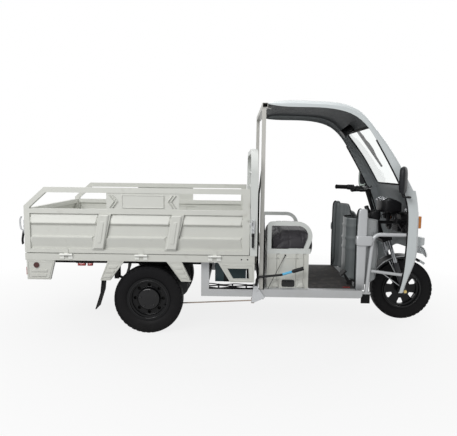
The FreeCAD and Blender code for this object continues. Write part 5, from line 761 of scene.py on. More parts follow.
MIRROR_PLACE = (1.226, 0.532, 1.241)
MIRROR_HALF = (0.022, 0.056, 0.105)
MIRROR_TURN = math.radians(34)
MIRROR_NECK = ((0, 0.013), (0.004, 0.015), (0.008, 0.012), (0.012, 0.0145), (0.016, 0.012), (0.022, 0.013))
MIRROR_NECK_DROP = 0.108
PANE_HALF_WIDTH, PANE_HALF_HEIGHT = 0.046, 0.092
PANE_ROUNDS, PANE_POWER = 40, 0.65
PANE_RINGS = ((1.0, -0.0198), (0.7, -0.0204), (0.35, -0.0207))
PANE_RIM, PANE_RIM_AHEAD = 0.0026, -0.0195
POD_BULGE, POD_POWER, POD_TIP_SHARE = 3.2, 0.6, 0.02
POD_STEPS, POD_ROUNDS = 20, 32


def bulged(share, power):
    return max(0.0, 1 - abs(share) ** power) ** (1 / power)


def add_pod(form, centre, half):
    """A rounded pod: level rings of rounded rectangles that close at the top and bottom."""
    rings = []
    for level in range(POD_STEPS + 1):
        up = math.sin((-1 + 2 * level / POD_STEPS) * math.pi / 2)
        reach = max(POD_TIP_SHARE, bulged(up, POD_BULGE))
        rings.append([centre + Vector((along * half[0] * reach, across * half[1] * reach, half[2] * up))
                      for along, across in squared_circle(POD_ROUNDS, POD_POWER)])
    add_rings(form, rings)


def mirror_middle(side):
    return Vector((MIRROR_PLACE[0], MIRROR_PLACE[1] * side, MIRROR_PLACE[2]))


def turn_in(form, side):
    """Turn a form about its mirror's upright line so that the glass looks at the rider."""
    inwards = Matrix.Rotation(MIRROR_TURN * side, 3, "Z")
    bmesh.ops.rotate(form, verts=form.verts, cent=mirror_middle(side), matrix=inwards)


def pane_ring(side, share, ahead):
    """The pane's outline, drawn in to a share of its size."""
    half_width, half_height = PANE_HALF_WIDTH * share, PANE_HALF_HEIGHT * share
    return [mirror_middle(side) + Vector((ahead, across * half_width, up * half_height))
            for across, up in squared_circle(PANE_ROUNDS, PANE_POWER)]


def mirror_housing(form, side):
    add_pod(form, mirror_middle(side), MIRROR_HALF)
    add_round(form, mirror_middle(side) - Vector((0, 0, MIRROR_NECK_DROP)), (0, 0, 1), MIRROR_NECK, 20)
    turn_in(form, side)


def mirror_rim(form, side):
    add_tube(form, pane_ring(side, 1.0, PANE_RIM_AHEAD), PANE_RIM, 8, closed=True)
    turn_in(form, side)


def mirror_pane(form, side):
    add_rings(form, [pane_ring(side, share, ahead) for share, ahead in PANE_RINGS], caps=(-1,))
    turn_in(form, side)


shells = build_pair("mirror_housing", mirror_housing, "mirror_{}_body", "mirror_shell")
for shell, (side, label) in zip(shells, SIDES):
    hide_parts("mirror_" + label)
build_pair("mirror_rim", mirror_rim, "mirror_{}_body", "black_plastic")
build_pair("mirror_pane", mirror_pane, "mirror_{}_body", "mirror_glass")


# Handlebar: hand levers, their perches and the cables taped along the stem

BAR = Vector((1.099, 0, 1.1586))
STEM_LEAN = math.radians(19)
STEM_DOWN = Vector((math.sin(STEM_LEAN), 0, -math.cos(STEM_LEAN)))
PERCH = (-0.050, 0.158, 0.004)
LEVER_LINE = ((0.030, -0.004, 0), (0.036, 0.030, -0.002), (-0.020, 0.092, -0.004), (-0.096, 0.152, -0.006),
              (-0.108, 0.160, -0.006))
LEVER_BALL_SPOT, LEVER_BALL_ALONG = (0.004, -0.003), (-0.8, 0.5)
LEVER_BALL = ((0, 0.0045), (0.003, 0.0075), (0.008, 0.0085), (0.013, 0.0075), (0.016, 0.004))
PERCH_PIN_SPOT, PERCH_ARM_ENDS = (0.014, -0.004, -0.012), ((0, -0.006, 0), (0.034, -0.002, 0))
PERCH_PIN = ((0, 0.009), (0.002, 0.011), (0.022, 0.011), (0.024, 0.009))
LEVER, PERCH_ARM, CABLE = 0.0045, 0.008, 0.0034
CABLE_GAPS = (-0.007, 0.007)
CABLE_RUNS = (0, 0.08, 0.20, 0.26)
CABLE_START = (0.032, -0.012)
CABLE_BEND = (0.022, 0.085, 0.016)
CABLE_NECK = (0.026, 0.030, -0.012)


def by_perch(side, x, y, z):
    """A point beside a lever's perch, with y outboard."""
    return BAR + Vector((PERCH[0] + x, (PERCH[1] + y) * side, PERCH[2] + z))


def hand_lever(form, side):
    line = smooth_line([by_perch(side, *point) for point in LEVER_LINE])
    add_tube(form, line, LEVER, 10)
    start = line[-1] + Vector((LEVER_BALL_SPOT[0], LEVER_BALL_SPOT[1] * side, 0))
    add_round(form, start, (LEVER_BALL_ALONG[0], LEVER_BALL_ALONG[1] * side, 0), LEVER_BALL, 16)


def lever_perch(form, side):
    add_round(form, by_perch(side, *PERCH_PIN_SPOT), (0, 0, 1), PERCH_PIN, 18)
    add_tube(form, [by_perch(side, *end) for end in PERCH_ARM_ENDS], PERCH_ARM, 10)


def taped_cables(form, side):
    for gap in CABLE_GAPS:
        neck = BAR + Vector((CABLE_NECK[0], CABLE_NECK[1] * side + gap, CABLE_NECK[2]))
        bend = BAR + Vector((CABLE_BEND[0], CABLE_BEND[1] * side, CABLE_BEND[2] + gap))
        start = by_perch(side, CABLE_START[0], CABLE_START[1], gap)
        line = [start, bend] + [neck + STEM_DOWN * run for run in CABLE_RUNS]
        add_tube(form, smooth_line(line), CABLE, 8)


build_pair("hand_lever", hand_lever, "steering", "black_plastic")
build_pair("lever_perch", lever_perch, "steering", "black_plastic")
build_pair("taped_cables", taped_cables, "steering", "soft_rubber")


# Steering column: a black shroud round the neck's top

SHROUD_DROP, SHROUD_HALF = 0.250, (0.050, 0.056, 0.050)
KEY_DROP, KEY_BACK = 0.165, 0.046
KEY_BARREL = ((0, 0.016), (0.004, 0.019), (0.030, 0.019), (0.034, 0.022), (0.062, 0.022))


def column_shroud(form):
    add_pod(form, BAR + STEM_DOWN * SHROUD_DROP, SHROUD_HALF)
    add_round(form, BAR + STEM_DOWN * KEY_DROP - Vector((KEY_BACK, 0, 0)), STEM_DOWN, KEY_BARREL, 24)


build_piece("column_shroud", column_shroud, "steering", "black_plastic")


# Instruments: a crowned housing with two gauges

DASH_OUTLINE = ((1.216, 0.950), (1.392, 0.950), (1.392, 1.042), (1.335, 1.068), (1.274, 1.086),
                (1.218, 1.063))
DASH_CENTRE, DASH_HALF_WIDTH = (1.304, 1.012), 0.127
DASH_SHARES = (-1, -0.97, -0.88, -0.6, -0.2, 0.2, 0.6, 0.88, 0.97, 1)
DASH_BULGE, DASH_END_SHARE, DASH_BEVEL = 3.5, 0.35, 0.006
GAUGE_PLACE, GAUGE_OUT = (1.243, 0.055, 1.0655), Vector((-0.371, 0, 0.928))
BEZEL = ((0, 0.035), (0.007, 0.0355), (0.009, 0.034), (0.007, 0.0325), (0.004, 0.0325), (0, 0.0325))
GAUGE = ((0, 0.033), (0.005, 0.033), (0.0085, 0.02), (0.009, 0.006))


def dash_housing(form):
    rings = []
    for share in DASH_SHARES:
        reach = DASH_END_SHARE + (1 - DASH_END_SHARE) * bulged(share, DASH_BULGE)
        rings.append([(DASH_CENTRE[0] + (x - DASH_CENTRE[0]) * reach, DASH_HALF_WIDTH * share,
                       DASH_CENTRE[1] + (z - DASH_CENTRE[1]) * reach) for x, z in DASH_OUTLINE])
    add_rings(form, rings)


dash = build_piece("dash_housing", dash_housing, "chassis", "black_plastic")
dash.modifiers.new("bevel", "BEVEL").width = DASH_BEVEL
dash_round = dash.modifiers.new("round", "SUBSURF")
dash_round.levels = 2
dash_round.render_levels = 2
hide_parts("instrument_binnacle")


def gauge_seat(side):
    return (GAUGE_PLACE[0], GAUGE_PLACE[1] * side, GAUGE_PLACE[2])


def gauge_bezel(form, side):
    add_round(form, gauge_seat(side), GAUGE_OUT, BEZEL, 40, closed=True)


def gauge_face(form, side):
    add_round(form, gauge_seat(side), GAUGE_OUT, GAUGE, 40)


build_pair("gauge_bezel", gauge_bezel, "chassis", "chrome")
build_pair("gauge_face", gauge_face, "chassis", "gloss_black")


# Cowl: the electrical gear behind the headlamp

FUSE_BOX = ((1.342, 1.395), (-0.142, -0.018), (0.797, 0.892))
FIN_X, FIN_Y = (1.335, 1.400), (-0.150, -0.010)
FIN_COUNT, FIN_FOOT, FIN_PITCH, FIN = 6, 0.800, 0.016, 0.009
SOUND_HORN = ((0, 0.016), (0.014, 0.018), (0.018, 0.040), (0.030, 0.044), (0.036, 0.044), (0.040, 0.030),
              (0.044, 0.030), (0.046, 0.012))
SOUND_HORN_WIRES = (((1.345, -0.205, 0.83), (1.325, -0.17, 0.875), (1.345, -0.11, 0.885)),
                    ((1.345, 0.18, 0.83), (1.325, 0.10, 0.875), (1.345, -0.02, 0.885)))
SOUND_HORN_X, SOUND_HORN_YS, SOUND_HORN_Z = 1.350, (-0.210, 0.185), 0.815
LOOM_COUNT, LOOM_FROM, LOOM_PITCH, LOOM_WIRE = 5, -0.135, 0.058, 0.0055
# Each point of the loom: x, its spread from wire to wire, the share of the wire's first y, and z
LOOM_LINE = ((1.345, 0, 1, 0.89), (1.330, 0.008, 0.9, 0.93), (1.352, 0, 0.7, 0.955), (1.372, 0, 0.6, 0.945))
SOUND_HORN_WIRE, COWL_BAR = 0.005, 0.009
COWL_BAR_ENDS = ((1.372, -0.20, 0.86), (1.372, 0.20, 0.86))


def cowl_gear(form):
    """Fuse box with fins, two horns with their wires, and the loom behind the headlamp."""
    for number in range(FIN_COUNT):
        low = FIN_FOOT + number * FIN_PITCH
        add_block(form, FIN_X, FIN_Y, (low, low + FIN))
    add_block(form, *FUSE_BOX)
    for y in SOUND_HORN_YS:
        add_round(form, (SOUND_HORN_X, y, SOUND_HORN_Z), (1, 0, 0), SOUND_HORN, 28)
    for number in range(LOOM_COUNT):
        y = LOOM_FROM + number * LOOM_PITCH
        line = [(x + spread * number, y * share, z) for x, spread, share, z in LOOM_LINE]
        add_tube(form, smooth_line(line), LOOM_WIRE, 8)
    for line in SOUND_HORN_WIRES:
        add_tube(form, smooth_line(line), SOUND_HORN_WIRE, 8)
    add_tube(form, COWL_BAR_ENDS, COWL_BAR, 10)


build_piece("cowl_gear", cowl_gear, "chassis", "black_plastic", smooth=False)


# Lamps: the headlamp's fluted glass and the turn signals' sockets

GLASS_RADIUS, GLASS_RINGS, GLASS_SIDES = 0.0865, 26, 112
GLASS_BACK, GLASS_CROWN = 0.001, 0.009
FLUTE, FLUTE_PITCH = 0.0012, 0.0173
# The back and front ends of a socket: places in plan, and heights
SOCKET_ENDS = ((((1.372, 0.306), (1.372, 0.354)), (0.866, 0.938)),
               (((1.430, 0.296), (1.414, 0.364)), (0.849, 0.955)))
SOCKET_WIRE = 0.004
SOCKET_LINE = ((1.374, 0.330, 0.900), (1.352, 0.325, 0.890), (1.345, 0.300, 0.865))


def lamp_lens(form):
    """The headlamp's domed glass with upright flutes."""
    rings = []
    for share in (ring / GLASS_RINGS for ring in range(1, GLASS_RINGS + 1)):
        ring = []
        for turn in turns(GLASS_SIDES):
            y = GLASS_RADIUS * share * math.cos(turn)
            flute = FLUTE * math.cos(2 * math.pi * y / FLUTE_PITCH) * (1 - share ** 4)
            crown = GLASS_CROWN * (1 - share ** 2)
            ring.append((LAMP_FRONT - GLASS_BACK + crown + flute, y,
                         LAMP_HEIGHT + GLASS_RADIUS * share * math.sin(turn)))
        rings.append(ring)
    add_rings(form, rings, caps=(0,))


def signal_sockets(form):
    """Lamp backs inside the shield, with a wire tail each."""
    for side in (-1, 1):
        add_hull(form, [(x, y * side, z) for spots, heights in SOCKET_ENDS
                        for x, y in spots for z in heights])
        add_tube(form, smooth_line([(x, y * side, z) for x, y, z in SOCKET_LINE]), SOCKET_WIRE, 8)


build_piece("headlamp_lens", lamp_lens, "chassis", "lamp_flutes")
build_piece("signal_sockets", signal_sockets, "chassis", "black_plastic", smooth=False)


# Front trim: rubber seals on the shield and pillars, the visor under the beak and the fender's bright edges

SEAL, SEAL_Y, SEAL_BACK = 0.006, 0.4675, 0.002
# Each seal's node, the place from which its edge is sought, the lowest height, the rise and the steps
SEALS = (("shield_seal_", "front_shield", 0.95, 0.36, 0.79, 30),
         ("pillar_seal_", "canopy_shell", 0.40, 1.165, 0.38, 24))
VISOR_OUTER = ((1.560, 0.668), (1.600, 0.660), (1.632, 0.632), (1.652, 0.592), (1.654, 0.572))
VISOR_INNER = ((1.647, 0.572), (1.644, 0.592), (1.625, 0.627), (1.597, 0.653), (1.560, 0.661))
VISOR_CHEEK = ((1.560, 0.664), (1.585, 0.655), (1.600, 0.615), (1.606, 0.574), (1.585, 0.590), (1.560, 0.640))
VISOR_HALF_WIDTH, VISOR_CHEEK_IN, VISOR_STEPS = 0.122, 0.117, 12
VISOR_SWEEP, VISOR_ROOT, VISOR_REACH = 0.050, 1.52, 0.134
FENDER_EDGE, FENDER_EDGE_Y, FENDER_RADIUS = 0.0042, 0.0625, 0.303
FENDER_FROM, FENDER_SPAN, FENDER_STEPS = math.radians(72), math.radians(96), 28


def rear_edge(node, start, y, heights):
    """Points where a node's rear edge is first met, going forward at a height."""
    points = []
    for z in heights:
        hit, place = nodes[node].ray_cast(Vector((start, y, z)), Vector((1, 0, 0)))[:2]
        if hit:
            points.append(place - Vector((SEAL_BACK, 0, 0)))
    return points


for side, label in SIDES:
    for name, node, start, foot, rise, steps in SEALS:
        heights = [foot + rise * step / steps for step in range(steps + 1)]
        edge = rear_edge(node, start, SEAL_Y * side, heights)
        build_piece(name + label, lambda form: add_tube(form, edge, SEAL), "chassis", "soft_rubber")


def visor(form):
    """A thin lip that droops ahead of the fender, with cheeks at its ends."""
    rings = []
    for step in range(VISOR_STEPS + 1):
        share = -1 + 2 * step / VISOR_STEPS
        back = VISOR_SWEEP * share ** 2
        rings.append([(x - back * (x - VISOR_ROOT) / VISOR_REACH, VISOR_HALF_WIDTH * share, z)
                      for x, z in VISOR_OUTER + VISOR_INNER])
    add_rings(form, rings)
    for side in (-1, 1):
        add_hull(form, [(x, y * side, z) for x, z in VISOR_CHEEK for y in (VISOR_CHEEK_IN, VISOR_HALF_WIDTH)])


def fender_edges(form):
    angles = [FENDER_FROM + FENDER_SPAN * step / FENDER_STEPS for step in range(FENDER_STEPS + 1)]
    for y in (-FENDER_EDGE_Y, FENDER_EDGE_Y):
        middle = Vector(FRONT_AXLE) + Vector((0, y, 0))
        line = [middle + Vector((math.cos(angle), 0, math.sin(angle))) * FENDER_RADIUS for angle in angles]
        add_tube(form, line, FENDER_EDGE, 8)


build_piece("visor", visor, "chassis", "clear_lip")
build_piece("fender_edges", fender_edges, "fork_slider", "bright_trim")


# Seat base: plain plate, pressed panel, corner dimples, a thin stay wire, and the tape on the parking lever

PLATE_CENTRE, PLATE_HALF, PLATE_FACE = (0.3845, 0.4055), (0.0515, 0.0285), -0.430
PLATE_STEPS = ((0, 0), (0.0, 0.003), (0.002, 0.0045), (0.006, 0.0045), (0.008, 0.003))
PLATE_ROUNDS, PLATE_POWER = 48, 0.3
PRESSING = ((0.226, 0.612), (0.500, 0.612), (0.500, 0.452), (0.470, 0.440), (0.255, 0.440), (0.226, 0.452))
PRESSING_Y, PRESSING_BEAD = 0.4298, 0.0032
DIMPLES = ((0.252, 0.309), (0.456, 0.514))
# Each level of a dimple: how far its left and right ends are drawn in, how far out it stands, and z
DIMPLE_LEVELS = ((0, 0, 0, 0.3715), (0.018, 0.012, 0, 0.409), (0.010, 0.010, 0.006, 0.378),
                 (0.024, 0.018, 0.004, 0.402))
WIRE, WIRE_ENDS = 0.0022, (Vector((0.357, -0.4335, 0.634)), Vector((0.181, -0.489, 0.294)))
WIRE_BOSS_OUT = 0.004
WIRE_BOSS = ((0, 0.004), (0.001, 0.0065), (0.006, 0.0065), (0.007, 0.004))
TAPE_ENDS = (Vector((0.332, -0.503, 0.494)), Vector((0.404, -0.503, 0.5166)))
TAPE_STEPS, TAPE_RADIUS, TAPE_LAP = 14, 0.0098, 0.0007


def seat_plate(form):
    rings = []
    for inset, out in PLATE_STEPS:
        rings.append([(PLATE_CENTRE[0] + along * (PLATE_HALF[0] - inset), PLATE_FACE - out,
                       PLATE_CENTRE[1] + up * (PLATE_HALF[1] - inset))
                      for along, up in squared_circle(PLATE_ROUNDS, PLATE_POWER)])
    add_rings(form, rings, caps=(-1,))


def pressed_panel(form):
    for side in (-1, 1):
        y = PRESSING_Y * side
        add_tube(form, [(x, y, z) for x, z in PRESSING], PRESSING_BEAD, 8, closed=True)
        for left, right in DIMPLES:
            add_hull(form, [(x, y + out * side, z) for left_in, right_in, out, z in DIMPLE_LEVELS
                            for x in (left + left_in, right - right_in)])


def stay_wire(form):
    add_tube(form, WIRE_ENDS, WIRE, 8)
    for end in WIRE_ENDS:
        add_round(form, end - Vector((0, WIRE_BOSS_OUT, 0)), (0, 1, 0), WIRE_BOSS, 14)


def lever_tape(form):
    """Tape wound round the lever, a little thicker at every second turn."""
    start, end = TAPE_ENDS
    length = (end - start).length
    profile = [(number / TAPE_STEPS * length, TAPE_RADIUS + TAPE_LAP * (number % 2))
               for number in range(TAPE_STEPS + 1)]
    add_round(form, start, end - start, profile, 20)


build_piece("seat_plate", seat_plate, "chassis", "gloss_black")
build_piece("seat_pressing", pressed_panel, "chassis", "bed_paint", smooth=False)
build_piece("stay_wire", stay_wire, "chassis", "black_plastic")
build_piece("lever_tape", lever_tape, "parking_body", "blue_tape")


# Floor: a red strip by the pedal and ribs on the mat

STRIP_COUNT, STRIP_FROM, STRIP_PITCH, STRIP = 5, 0.826, 0.012, 0.009
STRIP_Y, STRIP_Z = (-0.424, -0.408), (0.374, 0.380)
MAT_RIB_COUNT, MAT_RIB_FROM, MAT_RIB_PITCH = 17, -0.40, 0.05
MAT_RIB_X = (0.60, 0.90)
MAT_RIB_SECTION = ((-0.006, 0.374), (0.006, 0.374), (-0.003, 0.3772), (0.003, 0.3772))


def floor_strip(form):
    for number in range(STRIP_COUNT):
        x = STRIP_FROM + number * STRIP_PITCH
        add_block(form, (x, x + STRIP), STRIP_Y, STRIP_Z)


def mat_ribs(form):
    for number in range(MAT_RIB_COUNT):
        y = MAT_RIB_FROM + number * MAT_RIB_PITCH
        add_hull(form, [(x, y + across, z) for x in MAT_RIB_X for across, z in MAT_RIB_SECTION])


build_piece("floor_strip", floor_strip, "chassis", "lens_red", smooth=False)
build_piece("mat_ribs", mat_ribs, "chassis", "mat_rubber", smooth=False)


# Bed: pressed ribs and beads on the skirts, and the small lamps under the beam

SKIRT_REAR, SKIRT_LENGTH, SKIRT_FOOT, SKIRT_HEIGHT = -1.664, 1.772, 0.441, 0.154
SKIRT_SHARES = (((0.006, 0), (0.106, 0), (0.128, 1), (0.004, 1)),
                ((0.326, 0), (0.370, 0), (0.432, 1), (0.360, 1)),
                ((0.681, 0), (0.725, 0), (0.683, 1), (0.617, 1)))
SKIRT_WINDOW_SHARES = (((0.907, 0.18), (0.979, 0.18), (0.976, 0.72), (0.879, 0.72)),
                       ((0.899, 0.08), (0.990, 0.08), (0.990, 0.86), (0.858, 0.86)))
RIB_Y, RIB_OUT = 0.5655, 0.006
RIB_HEIGHT_SHARE, RIB_INSET_SHARE, RIB_CROWN_SHARE = 0.13, 0.16, 0.86
RIB_FOOT_SHARES = (0.16, 0.40, 0.64)
SKIRT_BEAD, SKIRT_BEAD_Y = 0.0032, 0.566
BEAD_IN_SHARE, BEAD_FOOT_SHARE, BEAD_RISE_SHARE = 0.12, 0.08, 0.84
BEAM_LAMPS = ((-1.262, -1.205), (-1.186, -1.150))
BEAM_LAMP_Y, BEAM_LAMP_Z, BEAM_LAMP_NOSE = (-0.556, -0.532), (0.552, 0.574), -0.560
HANGER_PLATE = ((-1.275, -1.140), (-0.557, -0.531), (0.573, 0.578))
HANGER_TABS, HANGER_TAB_HALF = (-1.255, -1.165), 0.01
HANGER_TAB_Y, HANGER_TAB_Z = (-0.546, -0.542), (0.576, 0.5955)
HANGER_LINE = ((-1.275, 0.576), (-1.305, 0.586), (-1.36, 0.5925), (-1.42, 0.5925))
HANGER_WIRE, HANGER_WIRE_Y = 0.003, -0.545


def on_skirt(along, y, up):
    """A point at shares of the bed's length and of the skirt's height."""
    return Vector((SKIRT_REAR + SKIRT_LENGTH * along, y, SKIRT_FOOT + SKIRT_HEIGHT * up))


def skirt_ribs(form):
    for side in (-1, 1):
        for corners in SKIRT_SHARES:
            low_rear, low_front, high_front, high_rear = [along for along, up in corners]
            for height in RIB_FOOT_SHARES[:2] if corners is SKIRT_SHARES[0] else RIB_FOOT_SHARES:
                base = []
                for level in (height, height + RIB_HEIGHT_SHARE):
                    rear = low_rear + (high_rear - low_rear) * level
                    front = low_front + (high_front - low_front) * level
                    inset = (front - rear) * RIB_INSET_SHARE
                    base += [on_skirt(along, RIB_Y * side, level) for along in (rear + inset, front - inset)]
                middle = sum(base, Vector()) / 4
                crown = [middle + (point - middle) * RIB_CROWN_SHARE + Vector((0, RIB_OUT * side, 0))
                         for point in base]
                add_hull(form, base + crown)


def skirt_beads(form):
    """Rolled beads round the skirts and the front skirt's window."""
    loops = []
    for corners in SKIRT_SHARES:
        middle = 0.5 * (corners[0][0] + corners[2][0])
        loops.append([(along + (middle - along) * BEAD_IN_SHARE, BEAD_FOOT_SHARE + up * BEAD_RISE_SHARE)
                      for along, up in corners])
    for side in (-1, 1):
        for loop in loops + list(SKIRT_WINDOW_SHARES):
            points = [on_skirt(along, SKIRT_BEAD_Y * side, up) for along, up in loop]
            add_tube(form, points, SKIRT_BEAD, 8, closed=True)


def beam_lamps(form):
    for left, right in BEAM_LAMPS:
        add_hull(form, [(x, y, z) for x in (left, right) for y in BEAM_LAMP_Y for z in BEAM_LAMP_Z]
                 + [((left + right) / 2, BEAM_LAMP_NOSE, sum(BEAM_LAMP_Z) / 2)])


def lamp_hanger(form):
    add_block(form, *HANGER_PLATE)
    for x in HANGER_TABS:
        add_block(form, (x - HANGER_TAB_HALF, x + HANGER_TAB_HALF), HANGER_TAB_Y, HANGER_TAB_Z)
    add_tube(form, smooth_line([(x, HANGER_WIRE_Y, z) for x, z in HANGER_LINE]), HANGER_WIRE, 8)


build_piece("skirt_ribs", skirt_ribs, "chassis", "bed_paint", smooth=False)
build_piece("skirt_beads", skirt_beads, "chassis", "bed_paint")
build_piece("beam_lamps", beam_lamps, "chassis", "lens_red", smooth=False)
build_piece("lamp_hanger", lamp_hanger, "chassis", "black_plastic", smooth=False)


# Sill: the wiring loom clipped along the right rail, from the drop post to the seat

SILL_SPOT = (-0.10, -0.468, 0.60)
SILL_WIRES = ((0.007, -0.474, 0.0062), (0.021, -0.466, 0.0052), (0.032, -0.459, 0.0042))
SILL_FROM, SILL_PITCH, SILL_POINTS = -0.285, 0.058, 8
SILL_SWAY, SILL_LIFT = 0.003, 0.004
SWAY_TURN, LIFT_TURN, LIFT_SHIFT = 2.1, 1.7, 200
CLIPS, CLIP_HALF = (-0.275, -0.17, -0.06, 0.05, 0.112), 0.006
CLIP_Y, CLIP_SUNK, CLIP_HEIGHT = (-0.482, -0.452), 0.001, 0.034


def sill_loom(form):
    top = nodes["main_frame"].ray_cast(Vector(SILL_SPOT), Vector((0, 0, -1)))[1].z
    for rise, across, radius in SILL_WIRES:
        add_tube(form, smooth_line([
            (SILL_FROM + SILL_PITCH * number, across + SILL_SWAY * math.sin(number * SWAY_TURN),
             top + rise + SILL_LIFT * math.sin(number * LIFT_TURN + rise * LIFT_SHIFT))
            for number in range(SILL_POINTS)]), radius, 8)
    for x in CLIPS:
        add_block(form, (x - CLIP_HALF, x + CLIP_HALF), CLIP_Y, (top - CLIP_SUNK, top + CLIP_HEIGHT))


build_piece("sill_loom", sill_loom, "chassis", "black_plastic")


# Gates: raised boxes on the stakes, deep pressed ridges, and the ornament's arrows and frame

STAKES, STAKE_LEAN, STAKE_FOOT, STAKE_HEIGHT = (-1.099, -0.541), 0.061, 0.655, 0.34
STAKE_BOXES = ((0.040, 0.690, 0.955, 0.0, 0.007), (0.014, 0.735, 0.905, 0.006, 0.011))
STAKE_TOP_SHARES = (0.8, 0.93)
STAKE_SEEN_Y, STAKE_SEEN_Z = 0.8, 0.83
GATE_RIDGES = (((0.5555, 0.868, 0.957), (0.576, 0.884, 0.890),
                ((-1.617, -1.100), (-1.003, -0.541), (-0.446, 0.010))),
               ((0.5555, 0.700, 0.790), (0.574, 0.772, 0.778),
                ((-1.617, -1.128), (-1.030, -0.570), (-0.472, 0.010))))
RIDGE_DRAW = 0.014
ARROW_TIPS = ((-0.9358, 1), (-0.9598, 1), (-0.5641, -1), (-0.5401, -1))
ARROW_MIDDLE, ARROW_HALF, ARROW_REACH, ARROW_BAR = 1.0575, 0.0465, 0.034, 0.015
ARROW_FOOT_Y, ARROW_CREST_Y = 0.568, 0.578
ORNAMENT_FIELD = ((-0.9053, 1.011), (-0.5891, 1.011), (-0.5891, 1.104), (-0.9053, 1.104))
ORNAMENT_Y = 0.570


def add_arrow(form, tip, pointing, side):
    """An arrow of two roof-shaped bars on the ornament plate."""
    reach, bar = ARROW_REACH * pointing, ARROW_BAR * pointing
    for end in (ARROW_MIDDLE - ARROW_HALF, ARROW_MIDDLE + ARROW_HALF):
        foot = ((tip - reach, end), (tip, ARROW_MIDDLE), (tip - bar, ARROW_MIDDLE), (tip - reach - bar, end))
        crest = ((tip - reach - bar / 2, end), (tip - bar / 2, ARROW_MIDDLE))
        add_hull(form, [(x, ARROW_FOOT_Y * side, z) for x, z in foot]
                 + [(x, ARROW_CREST_Y * side, z) for x, z in crest])


def stake_boxes(form, side):
    """A raised box on each stake with a narrow one on it."""
    gate = nodes["gate_left" if side > 0 else "gate_right"]
    for foot in STAKES:
        seen_from = Vector((foot + STAKE_LEAN * 0.5, STAKE_SEEN_Y * side, STAKE_SEEN_Z))
        face = abs(gate.ray_cast(seen_from, Vector((0, -side, 0)))[1].y)
        for half, low, high, base, crown in STAKE_BOXES:
            ends = []
            for z in (low, high):
                middle = foot + STAKE_LEAN * (z - STAKE_FOOT) / STAKE_HEIGHT
                ends += [Vector((x, (face + base) * side, z)) for x in (middle - half, middle + half)]
            centre = sum(ends, Vector()) / 4
            top = [centre + Vector(((point.x - centre.x) * STAKE_TOP_SHARES[0], (crown - base) * side,
                                    (point.z - centre.z) * STAKE_TOP_SHARES[1])) for point in ends]
            add_hull(form, ends + top)


def gate_ridges(form, side):
    """Ridges between the stakes: a wide foot on the panel and a narrow crest drawn in at its ends."""
    for (foot, low, high), (crest, crest_low, crest_high), bays in GATE_RIDGES:
        for start, end in bays:
            add_hull(form, [(x, foot * side, z) for x in (start, end) for z in (low, high)]
                     + [(x, crest * side, z) for x in (start + RIDGE_DRAW, end - RIDGE_DRAW)
                        for z in (crest_low, crest_high)])


def gate_ornament(form, side):
    for tip, pointing in ARROW_TIPS:
        add_arrow(form, tip, pointing, side)
    add_tube(form, [(x, ORNAMENT_Y * side, z) for x, z in ORNAMENT_FIELD], BEAD, 8, closed=True)


build_pair("stake_boxes", stake_boxes, "gate_{}_body", "bed_paint", smooth=False)
build_pair("gate_ridges", gate_ridges, "gate_{}_body", "bed_paint", smooth=False)
build_pair("gate_ornament", gate_ornament, "gate_{}_body", "bed_paint", smooth=False)


# Latches: a steel plate with its hook, a wire link and a slim black handle

HOOP_LATCH, HOOP_STAND = (0.0914, 0.579), 0.009
POST_LATCH, POST_STAND = (-1.671, 0.5525), 0.030
# Slabs of a latch: places across, places out from its post, and heights
LATCH_PLATE = ((-0.012, 0.012), (-0.005, 0), (0.800, 0.906))
LATCH_HOOK = ((0, -0.0235), (-0.005, 0), (0.885, 0.906))
HANDLE_ROOT = ((-0.0105, 0.0105), (0, 0.007), (0.800, 0.826))
LATCH_BOSS, LATCH_BOSS_Z = ((0, 0.012), (0.003, 0.012), (0.005, 0.009), (0.007, 0.005)), 0.862
LINK, LINK_HALF = 0.003, 0.0085
LINK_BAR, LINK_BAR_HALF = 0.0032, 0.0112
# Lines of the link and the handle: a start (out, z), then shares of the stand with z
LINK_START, LINK_LINE = (0.002, 0.818), ((0.8, 0.836), (1, 0.866), (1, 0.905), (0.7, 0.928))
HANDLE, HANDLE_START = 0.0085, (0.004, 0.822)
HANDLE_LINE = ((0.35, 0.790), (0.55, 0.750), (0.5, 0.722), (0.45, 0.717))


def latch_forms(place, stand):
    """Makers of a latch's steel and of its handle, on a function from (across, out, z) to a point."""
    def add_slab(form, across, out, heights):
        add_hull(form, [place(a, o, z) for a in across for o in out for z in heights])

    def metal(form):
        add_slab(form, *LATCH_PLATE)
        add_slab(form, *LATCH_HOOK)
        add_round(form, place(0, 0, LATCH_BOSS_Z), place(0, 1, 0) - place(0, 0, 0), LATCH_BOSS, 24)
        for a in (-LINK_HALF, LINK_HALF):
            line = [place(a, *LINK_START)] + [place(a, stand * share, z) for share, z in LINK_LINE]
            add_tube(form, smooth_line(line), LINK, 10)
        share, z = LINK_LINE[-1]
        add_tube(form, [place(a, stand * share, z) for a in (-LINK_BAR_HALF, LINK_BAR_HALF)], LINK_BAR, 10)

    def handle(form):
        line = [place(0, *HANDLE_START)] + [place(0, stand * share, z) for share, z in HANDLE_LINE]
        add_tube(form, smooth_line(line), HANDLE, 14)
        add_slab(form, *HANDLE_ROOT)

    return metal, handle


for side, label in SIDES:
    def on_hoop(across, out, z):
        return Vector((HOOP_LATCH[0] + across, (HOOP_LATCH[1] + out) * side, z))

    def on_post(across, out, z):
        return Vector((POST_LATCH[0] - out, (POST_LATCH[1] + across) * side, z))

    for end, place, stand in (("front", on_hoop, HOOP_STAND), ("rear", on_post, POST_STAND)):
        metal, handle = latch_forms(place, stand)
        body = "latch_%s_%s_body" % (end, label)
        plate = build_piece("latch_%s_plate_%s" % (end, label), metal, body, "bright_trim", smooth=False)
        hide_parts("latch_%s_%s" % (end, label))
        build_piece("latch_%s_handle_%s" % (end, label), handle, body, "black_plastic")


# Grips: ribbed rubber sleeves with a flange at each end

